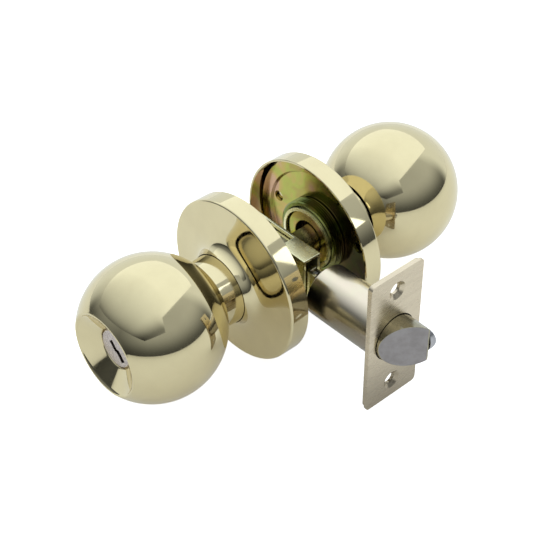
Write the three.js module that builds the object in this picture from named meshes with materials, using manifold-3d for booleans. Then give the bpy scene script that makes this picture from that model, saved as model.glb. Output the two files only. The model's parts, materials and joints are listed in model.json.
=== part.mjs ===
// Keyed ball-knob set with a tubular spring latch, as it comes together before it goes into a door.
// Millimetres. X runs from the knob axis to the door edge, Y along the knobs with the key side at -Y,
// and Z is up. The origin is where the knob axis crosses the latch axis.

import * as THREE from "three";
import { mergeVertices } from "three/addons/utils/BufferGeometryUtils.js";
import Module from "manifold-3d";

const wasm = await Module();
wasm.setup();

// ---- Driving dimensions ----

const KEY_SIDE = -1;
const ROOM_SIDE = 1;
const DEGREE = Math.PI / 180;
const GAP = 0.3; // between pieces that touch on the real set
const FINE = 28; // sides of a large round
const MEDIUM = 20;
const SMALL = 10;
const PAST = 1; // how far a cutting tool runs past what it cuts

// Distances called "along" are measured from the latch axis along the knob axis, on either side.
const BALL_RADIUS = 26.75;
const BALL_ALONG = 59;
const BALL_WALL = 0.9;
const BALL_MOUTH_RADIUS = 14.1;
const DISH_RIM_RADIUS = 16;
const DISH_RIM_ROUND = 1;
const DISH_RIM_RISE = 21.2; // from the ball centre
const DISH_FLOOR_RISE = 16.8;
const DISH_HOLE_RADIUS = 7.9;
const DISH_BACK = [14.4, 2.4]; // its outer edge: radius and height above the dish floor

const NECK_RADIUS = 13.7;
const NECK_WALL = 0.8;
const NECK_START = 23.2;
const NECK_END = 38;
const CATCH_ALONG = 34.2;
const CATCH_HOLE = [3.6, 5]; // across and along the neck

const ROSE_RADIUS = 32.07;
const ROSE_WALL = 0.9;
const ROSE_BACK = 14.3; // half the gap between the two roses
const ROSE_CORNER = 1.2;
const ROSE_FRONT = 22.2;
const ROSE_LIP_RADIUS = 14.5;
const ROSE_LIP_BORE = 14;
const ROSE_LIP_ALONG = 28.2;
const ROSE_FACE_PULLS = [
  [20.5, 0.2],
  [14.9, 0.7],
]; // how the face and its back sweep up to the lip: radius and height above the front
const ROSE_BACK_PULLS = [
  [14, 0.2],
  [20.2, -0.3],
];
const ROSE_BACK_CORNER = [0.4, 0.6];

const PLATE_RADIUS = 29.8;
const PLATE_WALL = 1;
const PLATE_FLANGE_ALONG = 19.4;
const PLATE_STEP = 1;
const PLATE_STEP_RADIUS = 25.4;
const PLATE_STEP_SLOPE = 0.8; // how far outwards the step slopes
const SCREW_X = 21.5;
const SCREW_Z = 5;
const SCREW_HOLE_RADIUS = 2.2;
const POST_RADIUS = 3.2;
const POST_BORE = 1.6;
const POST_END = 12.9;

const DRUM_RADIUS = 12.5;
const DRUM_BORE = 11.2;
const DRUM_HALF = 21;
const DRUM_WINDOW_HALF = 14.5;
const DRUM_WINDOW_FLOOR = -5;
const HUB_BORE = 12.9;
const NUT_RADIUS = 14.7;
const NUT_ROOT = 14.1;
const NUT_START = 15.6;
const NUT_END = 20;
const NUT_PITCH = 1.2;
const NUT_CRESTS = 3;
const BUSH_RADIUS = 10.9;
const BUSH_BORE = 6.85;
const BUSH_SPAN = [15.5, 19];
const RETURN_SPRING = { radius: 9.3, wire: 1.1, span: [20.4, 22.9], turns: 2 };

const SPINDLE_RADIUS = 6.5;
const SPINDLE_BORE = 5.2;
const SPINDLE_SPAN = [0.4, 43];
const CORE_RADIUS = 12.6;
const CORE_START = 24.6;
const CORE_SHOULDER = 40;
const CORE_BORE = 6.8;
const CORE_SHOULDER_SLOPE = 1.6;
const HOLDER_RADIUS = 11.2;
const HOLDER_BORE = 9.95;
const HOLDER_START = 43.6;
const HOLDER_END = 75;

const KEYWAY_TURN = -40 * DEGREE; // how far the key side is turned in its neck
const CYLINDER_RADIUS = 9.6;
const CYLINDER_SPAN = [46, 74.5];
const PLUG_RADIUS = 6.35;
const PLUG_BORE = 6.6;
const PLUG_HEAD_RADIUS = 7.5;
const PLUG_HEAD_SEAT = 7.75;
const PLUG_HEAD_START = 73.4;
const PLUG_SPAN = [44.2, 75.2];
const PLUG_CHAMFER = 0.4;
const CLIP_SPAN = [44.9, 45.7];
const CLIP_GROOVE = 5.6;
const CLIP_PLAY = 0.2;
const CLIP_RADIUS = 8;
const CHAMBER_HALF = 3.9;
const CHAMBER_TOP = 15.3;
const CHAMBER_SPAN = [49, 71];
const CAP_WALL = 0.6;
const PIN_COUNT = 5;
const PIN_FIRST = 52.4;
const PIN_PITCH = 3.9;
const PIN_RADIUS = 1.3;
const PIN_HOLE = 1.55;
const KEY_PIN_SPAN = [-0.6, 6];
const DRIVER_PIN_SPAN = [6.9, 9.8];
const PIN_SPRING = { radius: 0.95, wire: 0.36, span: [10.4, 14.8], turns: 3 };
const KEYWAY_END = 49;
const KEYWAY = [
  [-0.9, 3.4],
  [0.7, 3.4],
  [0.7, -0.2],
  [1.5, -0.9],
  [1.5, -5.4],
  [-0.1, -5.4],
  [-0.1, -1.4],
  [-0.9, -0.7],
];
const BAR_END = 1; // the tail bar and the button stem stop this far from the latch axis
const TAIL_BAR = [5, 1.2, 43.9]; // width, thickness, outer end

const BUTTON_BASE_RADIUS = 7.4;
const BUTTON_BASE_SPAN = [74.9, 76.3];
const BUTTON_WING = [12.4, 3.6, 82.6]; // length, thickness, outer end
const BUTTON_ROUND = 0.6;
const BUTTON_STEM = [4.2, 1.2, 74.5];
const BUTTON_SPRING = { radius: 3.5, wire: 0.6, span: [66, 73.9], turns: 4 };
const CORE_NECK_RADIUS = 9.4;
const CORE_NECK_BORE = 4.6;
const CORE_NECK_START = 46;
const CORE_END = 74.5;
const CATCH_NIB = [1.5, 10, 13.5]; // radius, inner and outer end
const CATCH_FLANGE = [2.5, 9.6, 10.2];
const CATCH_POCKET = [2.9, 7.2, 10.9];
const CATCH_BORE = 1.8;
const CATCH_SPRING = { radius: 1.8, wire: 0.4, span: [7.6, 9.1], turns: 2 };

const HOUSING_X = [-24.5, 18.5];
const HOUSING_HALF = 4;
const HOUSING_Z = [-9, 10];
const HOUSING_WALL = 1.1;
const BRIDGE_START = 5.5;
const HOUSING_EYE = 7;
const SLIDE_HALF = 2.55;
const SLIDE_REAR = -8;
const SLIDE_REAR_WALL = 1;
const SLIDE_Z = [-7.7, 8.3];
const SLIDE_WINDOW_Z = [-6.9, 7.2];
const SLIDE_FRONT = [17.7, 22.5];
const SLIDE_FRONT_Z = [-6, 5];
const SLIDE_RELIEF_X = 13; // the top bar stops here, so that the front end clears the bridge
const LEDGE_X = -0.3;
const LEDGE_Z = [3.5, 6.6];
const RETRACT_SPRING = { radius: 2, wire: 0.5, turns: 5 };
const RETRACT_SPRING_Z = [-4.2, 4.2];

const FACE_X = 60; // backset
const FACE_SIZE = [25, 57];
const FACE_WALL = 1.1;
const FACE_CORNER = 1.8;
const FACE_BOLT_HOLE = 9.35;
const FACE_SCREW_Z = 20.9;
const FACE_SCREW_RADIUS = 2.2;
const FACE_SINK_RADIUS = 3.75;
const FACE_SINK_PAST = 0.05;
const BACK_SIZE = [24, 56];
const BACK_GAP = 0.15;
const BACK_TUBE_HOLE = 10.5;
const TUBE_RADIUS = 10.25;
const TUBE_BORE = 9.45;
const TUBE_START = 26;
const GUIDE_RADIUS = 9.15;
const GUIDE_X = [26.4, 28.4];
const BOLT_RADIUS = 9;
const BOLT_X = [50.5, 70.8];
const BOLT_FLAT_Y = 5.9;
const BEVEL_START_X = 61;
const BEVEL_END_Y = 5.3;
const BOLT_WELL = { radius: 5.6, y: -0.8, end: 59.5 };
const BOLT_BORE = { radius: 2.75, end: 62.6 };
const BOLT_SPRING = { radius: 4.55, wire: 0.9, span: [29, 59], turns: 6 };
const TAIL_X = [19.4, 51.8];
const TAIL_HEAD_END = 21;
const TAIL_HALF = [0.9, 2.2]; // across and up
const TAIL_HEAD_HALF = 4;
const PLUNGER_X = [52, 71.4];
const PLUNGER_FLAT_Y = 6.25;
const PLUNGER_RADIUS = 8.95;
const PLUNGER_HALF = 6.2;
const PLUNGER_SPRING = { radius: 0.75, wire: 0.4, span: [29, 51.6], turns: 5, y: 7.5 };

const LOOKS = {
  polished: { color: 0xd9c78c, roughness: 0.16, metalness: 1 },
  satin: { color: 0xc9bd9a, roughness: 0.34, metalness: 1 },
  zinc: { color: 0xa8994e, roughness: 0.32, metalness: 1 },
  steel: { color: 0x9a9a9c, roughness: 0.38, metalness: 1 },
  spring: { color: 0x8a8a88, roughness: 0.35, metalness: 1 },
  nickel: { color: 0xc4bcb4, roughness: 0.3, metalness: 1 },
  yellow: { color: 0xb79a4a, roughness: 0.35, metalness: 1 },
  cast: { color: 0x8f8f8a, roughness: 0.55, metalness: 0.9 },
};

// ---- Making solids ----

const group = new THREE.Group();

function add(name, look, geometry, parent = group) {
  const mesh = new THREE.Mesh(geometry, new THREE.MeshStandardMaterial(LOOKS[look]));
  mesh.name = name;
  parent.add(mesh);
}

function toSolid(geometry) {
  const plain = geometry.clone();
  plain.deleteAttribute("normal");
  plain.deleteAttribute("uv");
  const merged = mergeVertices(plain, 1e-4);
  const vertProperties = merged.attributes.position.array;
  const triVerts = new Uint32Array(merged.index.array);
  return new wasm.Manifold(new wasm.Mesh({ numProp: 3, vertProperties, triVerts }));
}

function toGeometry(solid) {
  const mesh = solid.getMesh();
  const geometry = new THREE.BufferGeometry();
  geometry.setAttribute("position", new THREE.BufferAttribute(mesh.vertProperties, 3));
  geometry.setIndex(new THREE.BufferAttribute(mesh.triVerts, 1));
  return geometry;
}

function cut(body, ...tools) {
  return toGeometry(tools.reduce((left, tool) => left.subtract(toSolid(tool)), toSolid(body)));
}

function join(...bodies) {
  return toGeometry(bodies.map(toSolid).reduce((all, body) => all.add(body)));
}

function overlap(first, second) {
  return toGeometry(toSolid(first).intersect(toSolid(second)));
}

// A box from its limits along X, Y and Z.
function box([x0, x1], [y0, y1], [z0, z1]) {
  const geometry = new THREE.BoxGeometry(x1 - x0, y1 - y0, z1 - z0);
  return geometry.translate((x0 + x1) / 2, (y0 + y1) / 2, (z0 + z1) / 2);
}

// An arc of a profile: angles are from the turning axis, in degrees.
function arc(centreRadius, centreAlong, radius, from, to, steps) {
  return Array.from({ length: steps + 1 }, (_, i) => {
    const angle = (from + ((to - from) * i) / steps) * DEGREE;
    return [centreRadius + radius * Math.sin(angle), centreAlong + radius * Math.cos(angle)];
  });
}

function bezier(steps, ...corners) {
  const points = corners.map(([radius, along]) => new THREE.Vector2(radius, along));
  return new THREE.CubicBezierCurve(...points).getPoints(steps).map((point) => [point.x, point.y]);
}

// A body turned about Y from the outline of its wall, which is a list of [radius, along].
function turned(outline, side = ROOM_SIDE, sides = FINE) {
  const points = outline.map(([radius, along]) => new THREE.Vector2(radius, along * side));
  if (THREE.ShapeUtils.area(points) < 0) points.reverse();
  points.push(points[0].clone());
  return new THREE.LatheGeometry(points, sides);
}

function ring(bore, radius, [from, to], side, sides) {
  const outline = [
    [bore, from],
    [radius, from],
    [radius, to],
    [bore, to],
  ];
  return turned(outline, side, sides);
}

function rodY(radius, [from, to], side = ROOM_SIDE, sides = MEDIUM) {
  const geometry = new THREE.CylinderGeometry(radius, radius, to - from, sides);
  return geometry.translate(0, (side * (from + to)) / 2, 0);
}

function rodX(radius, [from, to], sides = MEDIUM) {
  const geometry = new THREE.CylinderGeometry(radius, radius, to - from, sides);
  return geometry.rotateZ(-90 * DEGREE).translate((from + to) / 2, 0, 0);
}

function rodZ(radius, [from, to], sides = SMALL) {
  const geometry = new THREE.CylinderGeometry(radius, radius, to - from, sides);
  return geometry.rotateX(90 * DEGREE).translate(0, 0, (from + to) / 2);
}

function mirrorSpan([from, to], side) {
  return side > 0 ? [from, to] : [-to, -from];
}

class Helix extends THREE.Curve {
  constructor({ radius, span, turns }) {
    super();
    this.radius = radius;
    this.span = span;
    this.turns = turns;
  }

  getPoint(t) {
    const angle = t * this.turns * 2 * Math.PI;
    const along = THREE.MathUtils.lerp(this.span[0], this.span[1], t);
    return new THREE.Vector3(this.radius * Math.cos(angle), this.radius * Math.sin(angle), along);
  }
}

// A coil spring about Z, of a wire with few sides.
function coil(spring, stepsPerTurn = 8, wireSides = 4) {
  const wire = new THREE.Shape();
  const points = Array.from({ length: wireSides }, (_, i) => {
    const angle = (i / wireSides) * 2 * Math.PI;
    const half = spring.wire / 2;
    return new THREE.Vector2(half * Math.cos(angle), half * Math.sin(angle));
  });
  wire.setFromPoints(points);
  const steps = Math.round(spring.turns * stepsPerTurn);
  return new THREE.ExtrudeGeometry(wire, { steps, extrudePath: new Helix(spring) });
}

function coilX(spring, y = 0, z = 0) {
  return coil(spring).rotateY(90 * DEGREE).translate(0, y, z);
}

function coilY(spring, side) {
  return coil({ ...spring, span: mirrorSpan(spring.span, side) }).rotateX(-90 * DEGREE);
}

// ---- Knobs ----

// A spun ball: open at the neck, with a rolled rim and a conical dish that has a round hole.
function ballShell(side) {
  const mouthAngle = 180 - Math.asin(BALL_MOUTH_RADIUS / BALL_RADIUS) / DEGREE;
  const rimRadius = DISH_RIM_RADIUS + DISH_RIM_ROUND;
  const rimAngle = Math.asin(rimRadius / BALL_RADIUS) / DEGREE;
  const innerRadius = BALL_RADIUS - BALL_WALL;
  const innerMouth = 180 - Math.asin(BALL_MOUTH_RADIUS / innerRadius) / DEGREE;
  const rimAlong = BALL_ALONG + DISH_RIM_RISE - DISH_RIM_ROUND;
  const floorAlong = BALL_ALONG + DISH_FLOOR_RISE;
  const [backRadius, backRise] = DISH_BACK;
  const outline = [
    ...arc(0, BALL_ALONG, BALL_RADIUS, mouthAngle, rimAngle, 9),
    ...arc(DISH_RIM_RADIUS, rimAlong, DISH_RIM_ROUND, 50, -60, 3),
    [DISH_HOLE_RADIUS, floorAlong],
    [DISH_HOLE_RADIUS, floorAlong - BALL_WALL],
    [backRadius, floorAlong + backRise],
    ...arc(0, BALL_ALONG, innerRadius, rimAngle + 2.5, innerMouth, 5),
  ];
  return turned(outline, side);
}

// The neck is a drawn tube, fixed inside the ball.
function knobNeck(side) {
  return ring(NECK_RADIUS - NECK_WALL, NECK_RADIUS, [NECK_START, NECK_END], side, FINE);
}

function roomNeck() {
  const [across, along] = CATCH_HOLE;
  const [, inner] = CATCH_NIB;
  const hole = rodX(across / 2, [inner, NECK_RADIUS + PAST], SMALL);
  const stretched = hole.scale(1, along / across, 1).translate(0, CATCH_ALONG, 0);
  return cut(knobNeck(ROOM_SIDE), stretched);
}

// Half of a tube, open away from the latch, whose two edges push the retractor.
function spindle(side) {
  const tube = ring(SPINDLE_BORE, SPINDLE_RADIUS, SPINDLE_SPAN, side, MEDIUM);
  const reach = SPINDLE_RADIUS + PAST;
  const span = mirrorSpan([SPINDLE_SPAN[0] - PAST, SPINDLE_SPAN[1] + PAST], side);
  return cut(tube, box([-reach, 0], span, [-reach, reach]));
}

function flatBar([width, thickness, end], side) {
  const span = mirrorSpan([BAR_END, end], side);
  return box([-thickness / 2, thickness / 2], span, [-width / 2, width / 2]);
}

// ---- Key side: the cylinder, its plug and its pins ----

const pinPlaces = Array.from({ length: PIN_COUNT }, (_, i) => -(PIN_FIRST + i * PIN_PITCH));

function keyCore() {
  const outline = [
    [CORE_RADIUS, CORE_START],
    [CORE_RADIUS, CORE_SHOULDER],
    [HOLDER_RADIUS, CORE_SHOULDER + CORE_SHOULDER_SLOPE],
    [HOLDER_RADIUS, HOLDER_END],
    [HOLDER_BORE, HOLDER_END],
    [HOLDER_BORE, HOLDER_START],
    [CORE_BORE, HOLDER_START],
    [CORE_BORE, CORE_START],
  ];
  const half = CHAMBER_HALF + GAP;
  const slotSpan = [-(HOLDER_END + PAST), -(CHAMBER_SPAN[0] - GAP)];
  const slot = box([-half, half], slotSpan, [0, CORE_RADIUS + PAST]);
  return cut(turned(outline, KEY_SIDE), slot);
}

function keyCylinder() {
  const barrel = rodY(CYLINDER_RADIUS, CYLINDER_SPAN, KEY_SIDE, FINE);
  const chamber = box(
    [-CHAMBER_HALF, CHAMBER_HALF],
    mirrorSpan(CHAMBER_SPAN, KEY_SIDE),
    [0, CHAMBER_TOP],
  );
  const bore = rodY(PLUG_BORE, [CYLINDER_SPAN[0] - PAST, CYLINDER_SPAN[1] + PAST], KEY_SIDE);
  const seat = rodY(
    PLUG_HEAD_SEAT,
    [PLUG_HEAD_START - GAP, CYLINDER_SPAN[1] + PAST],
    KEY_SIDE,
  );
  const pinHoles = pinPlaces.map((y) =>
    rodZ(PIN_HOLE, [PLUG_RADIUS - PAST, CHAMBER_TOP + PAST]).translate(0, y, 0),
  );
  return cut(join(barrel, chamber), bore, seat, ...pinHoles);
}

function keyPlug() {
  const [clipStart, clipEnd] = CLIP_SPAN;
  const outline = [
    [0, PLUG_SPAN[0]],
    [PLUG_RADIUS, PLUG_SPAN[0]],
    [PLUG_RADIUS, clipStart - CLIP_PLAY],
    [CLIP_GROOVE, clipStart - CLIP_PLAY],
    [CLIP_GROOVE, clipEnd + CLIP_PLAY],
    [PLUG_RADIUS, clipEnd + CLIP_PLAY],
    [PLUG_RADIUS, PLUG_HEAD_START],
    [PLUG_HEAD_RADIUS, PLUG_HEAD_START],
    [PLUG_HEAD_RADIUS, PLUG_SPAN[1] - PLUG_CHAMFER],
    [PLUG_HEAD_RADIUS - PLUG_CHAMFER, PLUG_SPAN[1]],
    [0, PLUG_SPAN[1]],
  ];
  const body = turned(outline, KEY_SIDE, MEDIUM);
  const keyway = new THREE.Shape(KEYWAY.map(([x, z]) => new THREE.Vector2(x, z)));
  const depth = PLUG_SPAN[1] + PAST - KEYWAY_END;
  const slot = new THREE.ExtrudeGeometry(keyway, { depth, bevelEnabled: false });
  slot.rotateX(90 * DEGREE).translate(0, -KEYWAY_END, 0);
  const pinHoles = pinPlaces.map((y) =>
    rodZ(PIN_HOLE, [KEY_PIN_SPAN[0] - GAP, PLUG_RADIUS + PAST]).translate(0, y, 0),
  );
  return cut(body, slot, ...pinHoles);
}

function keyPin() {
  const [low, high] = KEY_PIN_SPAN;
  const tip = new THREE.CylinderGeometry(PIN_RADIUS, PIN_RADIUS / 3, PIN_RADIUS, SMALL);
  tip.rotateX(90 * DEGREE).translate(0, 0, low + PIN_RADIUS / 2);
  return join(rodZ(PIN_RADIUS, [low + PIN_RADIUS, high]), tip);
}

function addKeySide() {
  add("key_knob_shell", "polished", ballShell(KEY_SIDE));
  add("key_knob_neck", "polished", knobNeck(KEY_SIDE));
  add("key_spindle", "zinc", spindle(KEY_SIDE));

  const lock = new THREE.Group();
  lock.rotation.y = KEYWAY_TURN;
  group.add(lock);
  add("key_knob_core", "cast", keyCore(), lock);
  add("key_cylinder", "yellow", keyCylinder(), lock);
  add("key_plug", "nickel", keyPlug(), lock);
  const clip = ring(CLIP_GROOVE + CLIP_PLAY, CLIP_RADIUS, CLIP_SPAN, KEY_SIDE, MEDIUM);
  add("key_plug_clip", "spring", clip, lock);
  add("key_tail_bar", "steel", flatBar(TAIL_BAR, KEY_SIDE), lock);
  const capTop = CHAMBER_TOP + GAP;
  const cap = box(
    [-CHAMBER_HALF, CHAMBER_HALF],
    mirrorSpan(CHAMBER_SPAN, KEY_SIDE),
    [capTop, capTop + CAP_WALL],
  );
  add("key_cylinder_cap", "yellow", cap, lock);
  pinPlaces.forEach((y, i) => {
    const driver = rodZ(PIN_RADIUS, DRIVER_PIN_SPAN).translate(0, y, 0);
    const spring = coil(PIN_SPRING, 6).translate(0, y, 0);
    add(`key_pin_${i + 1}`, "yellow", keyPin().translate(0, y, 0), lock);
    add(`driver_pin_${i + 1}`, "yellow", driver, lock);
    add(`pin_spring_${i + 1}`, "spring", spring, lock);
  });
}

// ---- Room side: the turn button and the catch that holds the knob on ----

function roomCore() {
  const outline = [
    [CORE_RADIUS, CORE_START],
    [CORE_RADIUS, CORE_SHOULDER],
    [CORE_NECK_RADIUS, CORE_SHOULDER + CORE_SHOULDER_SLOPE],
    [CORE_NECK_RADIUS, CORE_END],
    [CORE_NECK_BORE, CORE_END],
    [CORE_NECK_BORE, CORE_NECK_START],
    [CORE_BORE, CORE_NECK_START],
    [CORE_BORE, CORE_START],
  ];
  const [pocketRadius, pocketStart, pocketEnd] = CATCH_POCKET;
  const pocket = rodX(pocketRadius, [pocketStart, pocketEnd], SMALL).translate(0, CATCH_ALONG, 0);
  const bore = rodX(CATCH_BORE, [pocketEnd - PAST, CORE_RADIUS + PAST], SMALL);
  return cut(turned(outline), pocket, bore.translate(0, CATCH_ALONG, 0));
}

function knobCatch() {
  const [nibRadius, nibStart, nibEnd] = CATCH_NIB;
  const [flangeRadius, flangeStart, flangeEnd] = CATCH_FLANGE;
  const nib = rodX(nibRadius, [nibStart, nibEnd], SMALL);
  const flange = rodX(flangeRadius, [flangeStart, flangeEnd], SMALL);
  return join(nib, flange).translate(0, CATCH_ALONG, 0);
}

function turnButton() {
  const [length, thickness, end] = BUTTON_WING;
  const [baseStart, baseEnd] = BUTTON_BASE_SPAN;
  const half = length / 2 - thickness / 2;
  const wing = new THREE.Shape();
  wing.absarc(0, half, thickness / 2, 0, Math.PI);
  wing.absarc(0, -half, thickness / 2, Math.PI, 2 * Math.PI);
  const raised = new THREE.ExtrudeGeometry(wing, {
    depth: end - baseEnd,
    bevelThickness: BUTTON_ROUND,
    bevelSize: BUTTON_ROUND,
    bevelOffset: -BUTTON_ROUND,
    bevelSegments: 1,
    curveSegments: 5,
  });
  raised.translate(0, 0, -end + BUTTON_ROUND).rotateX(90 * DEGREE);
  const base = rodY(BUTTON_BASE_RADIUS, [baseStart, baseEnd]);
  return join(base, raised);
}

function addRoomSide() {
  add("room_knob_shell", "polished", ballShell(ROOM_SIDE));
  add("room_knob_neck", "polished", roomNeck());
  add("room_knob_core", "cast", roomCore());
  add("room_spindle", "zinc", spindle(ROOM_SIDE));
  add("knob_catch", "steel", knobCatch());
  add("catch_spring", "spring", coilX(CATCH_SPRING).translate(0, CATCH_ALONG, 0));
  add("turn_button", "polished", turnButton());
  add("button_stem", "steel", flatBar(BUTTON_STEM, ROOM_SIDE));
  add("button_spring", "spring", coilY(BUTTON_SPRING, ROOM_SIDE));
}

// ---- Roses and what holds them ----

function rose(side) {
  const cornerRadius = ROSE_RADIUS - ROSE_CORNER;
  const inner = ROSE_RADIUS - ROSE_WALL;
  const raise = ([radius, rise]) => [radius, ROSE_FRONT + rise];
  const [across, along] = ROSE_BACK_CORNER;
  const face = bezier(
    5,
    [cornerRadius, ROSE_FRONT],
    ...ROSE_FACE_PULLS.map(raise),
    [ROSE_LIP_RADIUS, ROSE_LIP_ALONG],
  );
  const back = bezier(
    4,
    [ROSE_LIP_BORE, ROSE_LIP_ALONG],
    ...ROSE_BACK_PULLS.map(raise),
    [cornerRadius - across, ROSE_FRONT - ROSE_WALL],
  );
  const outline = [
    [ROSE_RADIUS, ROSE_BACK],
    ...arc(cornerRadius, ROSE_FRONT - ROSE_CORNER, ROSE_CORNER, 90, 30, 2),
    ...face,
    ...back,
    [inner, ROSE_FRONT - ROSE_CORNER - along],
    [inner, ROSE_BACK],
  ];
  return turned(outline, side);
}

function mountingPlate(side) {
  const face = PLATE_FLANGE_ALONG + PLATE_STEP;
  const outline = [
    [HUB_BORE, face],
    [PLATE_STEP_RADIUS - PLATE_STEP_SLOPE, face],
    [PLATE_STEP_RADIUS, PLATE_FLANGE_ALONG],
    [PLATE_RADIUS, PLATE_FLANGE_ALONG],
    [PLATE_RADIUS, PLATE_FLANGE_ALONG + PLATE_WALL],
    [PLATE_STEP_RADIUS + PLATE_STEP_SLOPE, PLATE_FLANGE_ALONG + PLATE_WALL],
    [PLATE_STEP_RADIUS, face + PLATE_WALL],
    [HUB_BORE, face + PLATE_WALL],
  ];
  const drills = [-SCREW_X, SCREW_X].map((x) =>
    rodY(SCREW_HOLE_RADIUS, [face - PAST, face + 2 * PAST], side, SMALL).translate(x, 0, SCREW_Z),
  );
  return cut(turned(outline, side), ...drills);
}

function keyMountingPlate() {
  const face = PLATE_FLANGE_ALONG + PLATE_STEP;
  const posts = [-SCREW_X, SCREW_X].map((x) =>
    rodY(POST_RADIUS, [POST_END, face + PLATE_WALL / 2], KEY_SIDE, SMALL).translate(x, 0, SCREW_Z),
  );
  const threads = [-SCREW_X, SCREW_X].map((x) =>
    rodY(POST_BORE, [POST_END - PAST, face + 2 * PAST], KEY_SIDE, SMALL).translate(x, 0, SCREW_Z),
  );
  return cut(join(mountingPlate(KEY_SIDE), ...posts), ...threads);
}

// A collar with a few thread crests, screwed on the drum against the plate.
function hubNut(side) {
  const crests = Array.from({ length: NUT_CRESTS }, (_, i) => NUT_START + i * NUT_PITCH).flatMap(
    (along) => [
      [NUT_RADIUS, along + NUT_PITCH / 4],
      [NUT_ROOT, along + (3 * NUT_PITCH) / 4],
    ],
  );
  const outline = [
    [HUB_BORE, NUT_START],
    ...crests,
    [NUT_RADIUS, NUT_END - NUT_PITCH / 2],
    [NUT_RADIUS, NUT_END],
    [HUB_BORE, NUT_END],
  ];
  return turned(outline, side);
}

function addMounting(side, name) {
  const plate = side === KEY_SIDE ? keyMountingPlate() : mountingPlate(side);
  add(`${name}_rose`, "polished", rose(side));
  add(`${name}_mounting_plate`, "zinc", plate);
  add(`${name}_hub_nut`, "zinc", hubNut(side));
  add(`${name}_hub_bush`, "zinc", ring(BUSH_BORE, BUSH_RADIUS, BUSH_SPAN, side, MEDIUM));
  add(`${name}_return_spring`, "spring", coilY(RETURN_SPRING, side));
}

// ---- Chassis and retractor ----

// The drum is a tube along the knob axis, open at the top between the roses, with a gap for the housing.
function drum() {
  const reach = DRUM_RADIUS + PAST;
  const tube = ring(DRUM_BORE, DRUM_RADIUS, [-DRUM_HALF, DRUM_HALF], ROOM_SIDE, FINE);
  const windowSpan = [-DRUM_WINDOW_HALF, DRUM_WINDOW_HALF];
  const window = box([-reach, reach], windowSpan, [DRUM_WINDOW_FLOOR, reach]);
  const half = HOUSING_HALF + GAP;
  const floor = HOUSING_Z[0] - GAP;
  const seat = box([-reach, reach], [-half, half], [floor, reach]);
  return cut(tube, window, seat);
}

// A channel for the retractor: bridged at the front, open on top behind, with an eye in each side.
function housing() {
  const [back, front] = HOUSING_X;
  const [bottom, top] = HOUSING_Z;
  const half = HOUSING_HALF - HOUSING_WALL;
  const shell = box(HOUSING_X, [-HOUSING_HALF, HOUSING_HALF], HOUSING_Z);
  const inner = box(
    [back + HOUSING_WALL, front + PAST],
    [-half, half],
    [bottom + HOUSING_WALL, top - HOUSING_WALL],
  );
  const opening = box([back + HOUSING_WALL, BRIDGE_START], [-half, half], [0, top + PAST]);
  const eyeSpan = [-HOUSING_HALF - PAST, HOUSING_HALF + PAST];
  const eye = rodY(HOUSING_EYE, eyeSpan, ROOM_SIDE, MEDIUM);
  return cut(shell, inner, opening, eye);
}

// The slide is a frame round both spindles. Its ledges are pushed by the key-side spindle.
function retractorSlide() {
  const width = [-SLIDE_HALF, SLIDE_HALF];
  const [frontStart, frontEnd] = SLIDE_FRONT;
  const inside = SLIDE_REAR + SLIDE_REAR_WALL;
  const frame = box([SLIDE_REAR, frontStart + PAST], width, SLIDE_Z);
  const window = box([inside, frontStart], [-SLIDE_HALF - PAST, SLIDE_HALF + PAST], SLIDE_WINDOW_Z);
  const nose = box([frontStart + 0.2, frontEnd], width, SLIDE_FRONT_Z);
  const slotHalf = TAIL_HALF[0] + GAP;
  const top = SLIDE_Z[1] + PAST;
  const relief = box(
    [SLIDE_RELIEF_X, frontEnd + PAST],
    [-SLIDE_HALF - PAST, SLIDE_HALF + PAST],
    [SLIDE_FRONT_Z[1], top],
  );
  const neckSlot = box(
    [TAIL_X[0] - GAP, frontEnd + PAST],
    [-slotHalf, slotHalf],
    [-TAIL_HALF[1] - GAP, top],
  );
  const headSlot = box(
    [TAIL_X[0] - GAP, TAIL_HEAD_END + GAP],
    [-slotHalf, slotHalf],
    [-TAIL_HEAD_HALF - GAP, top],
  );
  const ledges = [LEDGE_Z, [-LEDGE_Z[1], -LEDGE_Z[0]]].map((z) =>
    box([inside - SLIDE_REAR_WALL / 2, LEDGE_X], [-SLIDE_HALF, -SPINDLE_SPAN[0]], z),
  );
  return join(cut(join(frame, nose), window, relief, neckSlot, headSlot), ...ledges);
}

function addChassis() {
  add("chassis_drum", "zinc", drum());
  add("retractor_housing", "yellow", housing());
  add("retractor_slide", "steel", retractorSlide());
  const span = [HOUSING_X[0] + HOUSING_WALL + GAP, SLIDE_REAR - GAP];
  const [lower, upper] = RETRACT_SPRING_Z;
  add("retractor_spring_lower", "spring", coilX({ ...RETRACT_SPRING, span }, 0, lower));
  add("retractor_spring_upper", "spring", coilX({ ...RETRACT_SPRING, span }, 0, upper));
}

// ---- Latch ----

function roundedRectangle(width, height, corner) {
  const right = width / 2 - corner;
  const up = height / 2 - corner;
  const quarter = Math.PI / 2;
  const shape = new THREE.Shape();
  shape.absarc(right, up, corner, 0, quarter);
  shape.absarc(-right, up, corner, quarter, 2 * quarter);
  shape.absarc(-right, -up, corner, 2 * quarter, 3 * quarter);
  shape.absarc(right, -up, corner, 3 * quarter, 4 * quarter);
  return shape;
}

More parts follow.
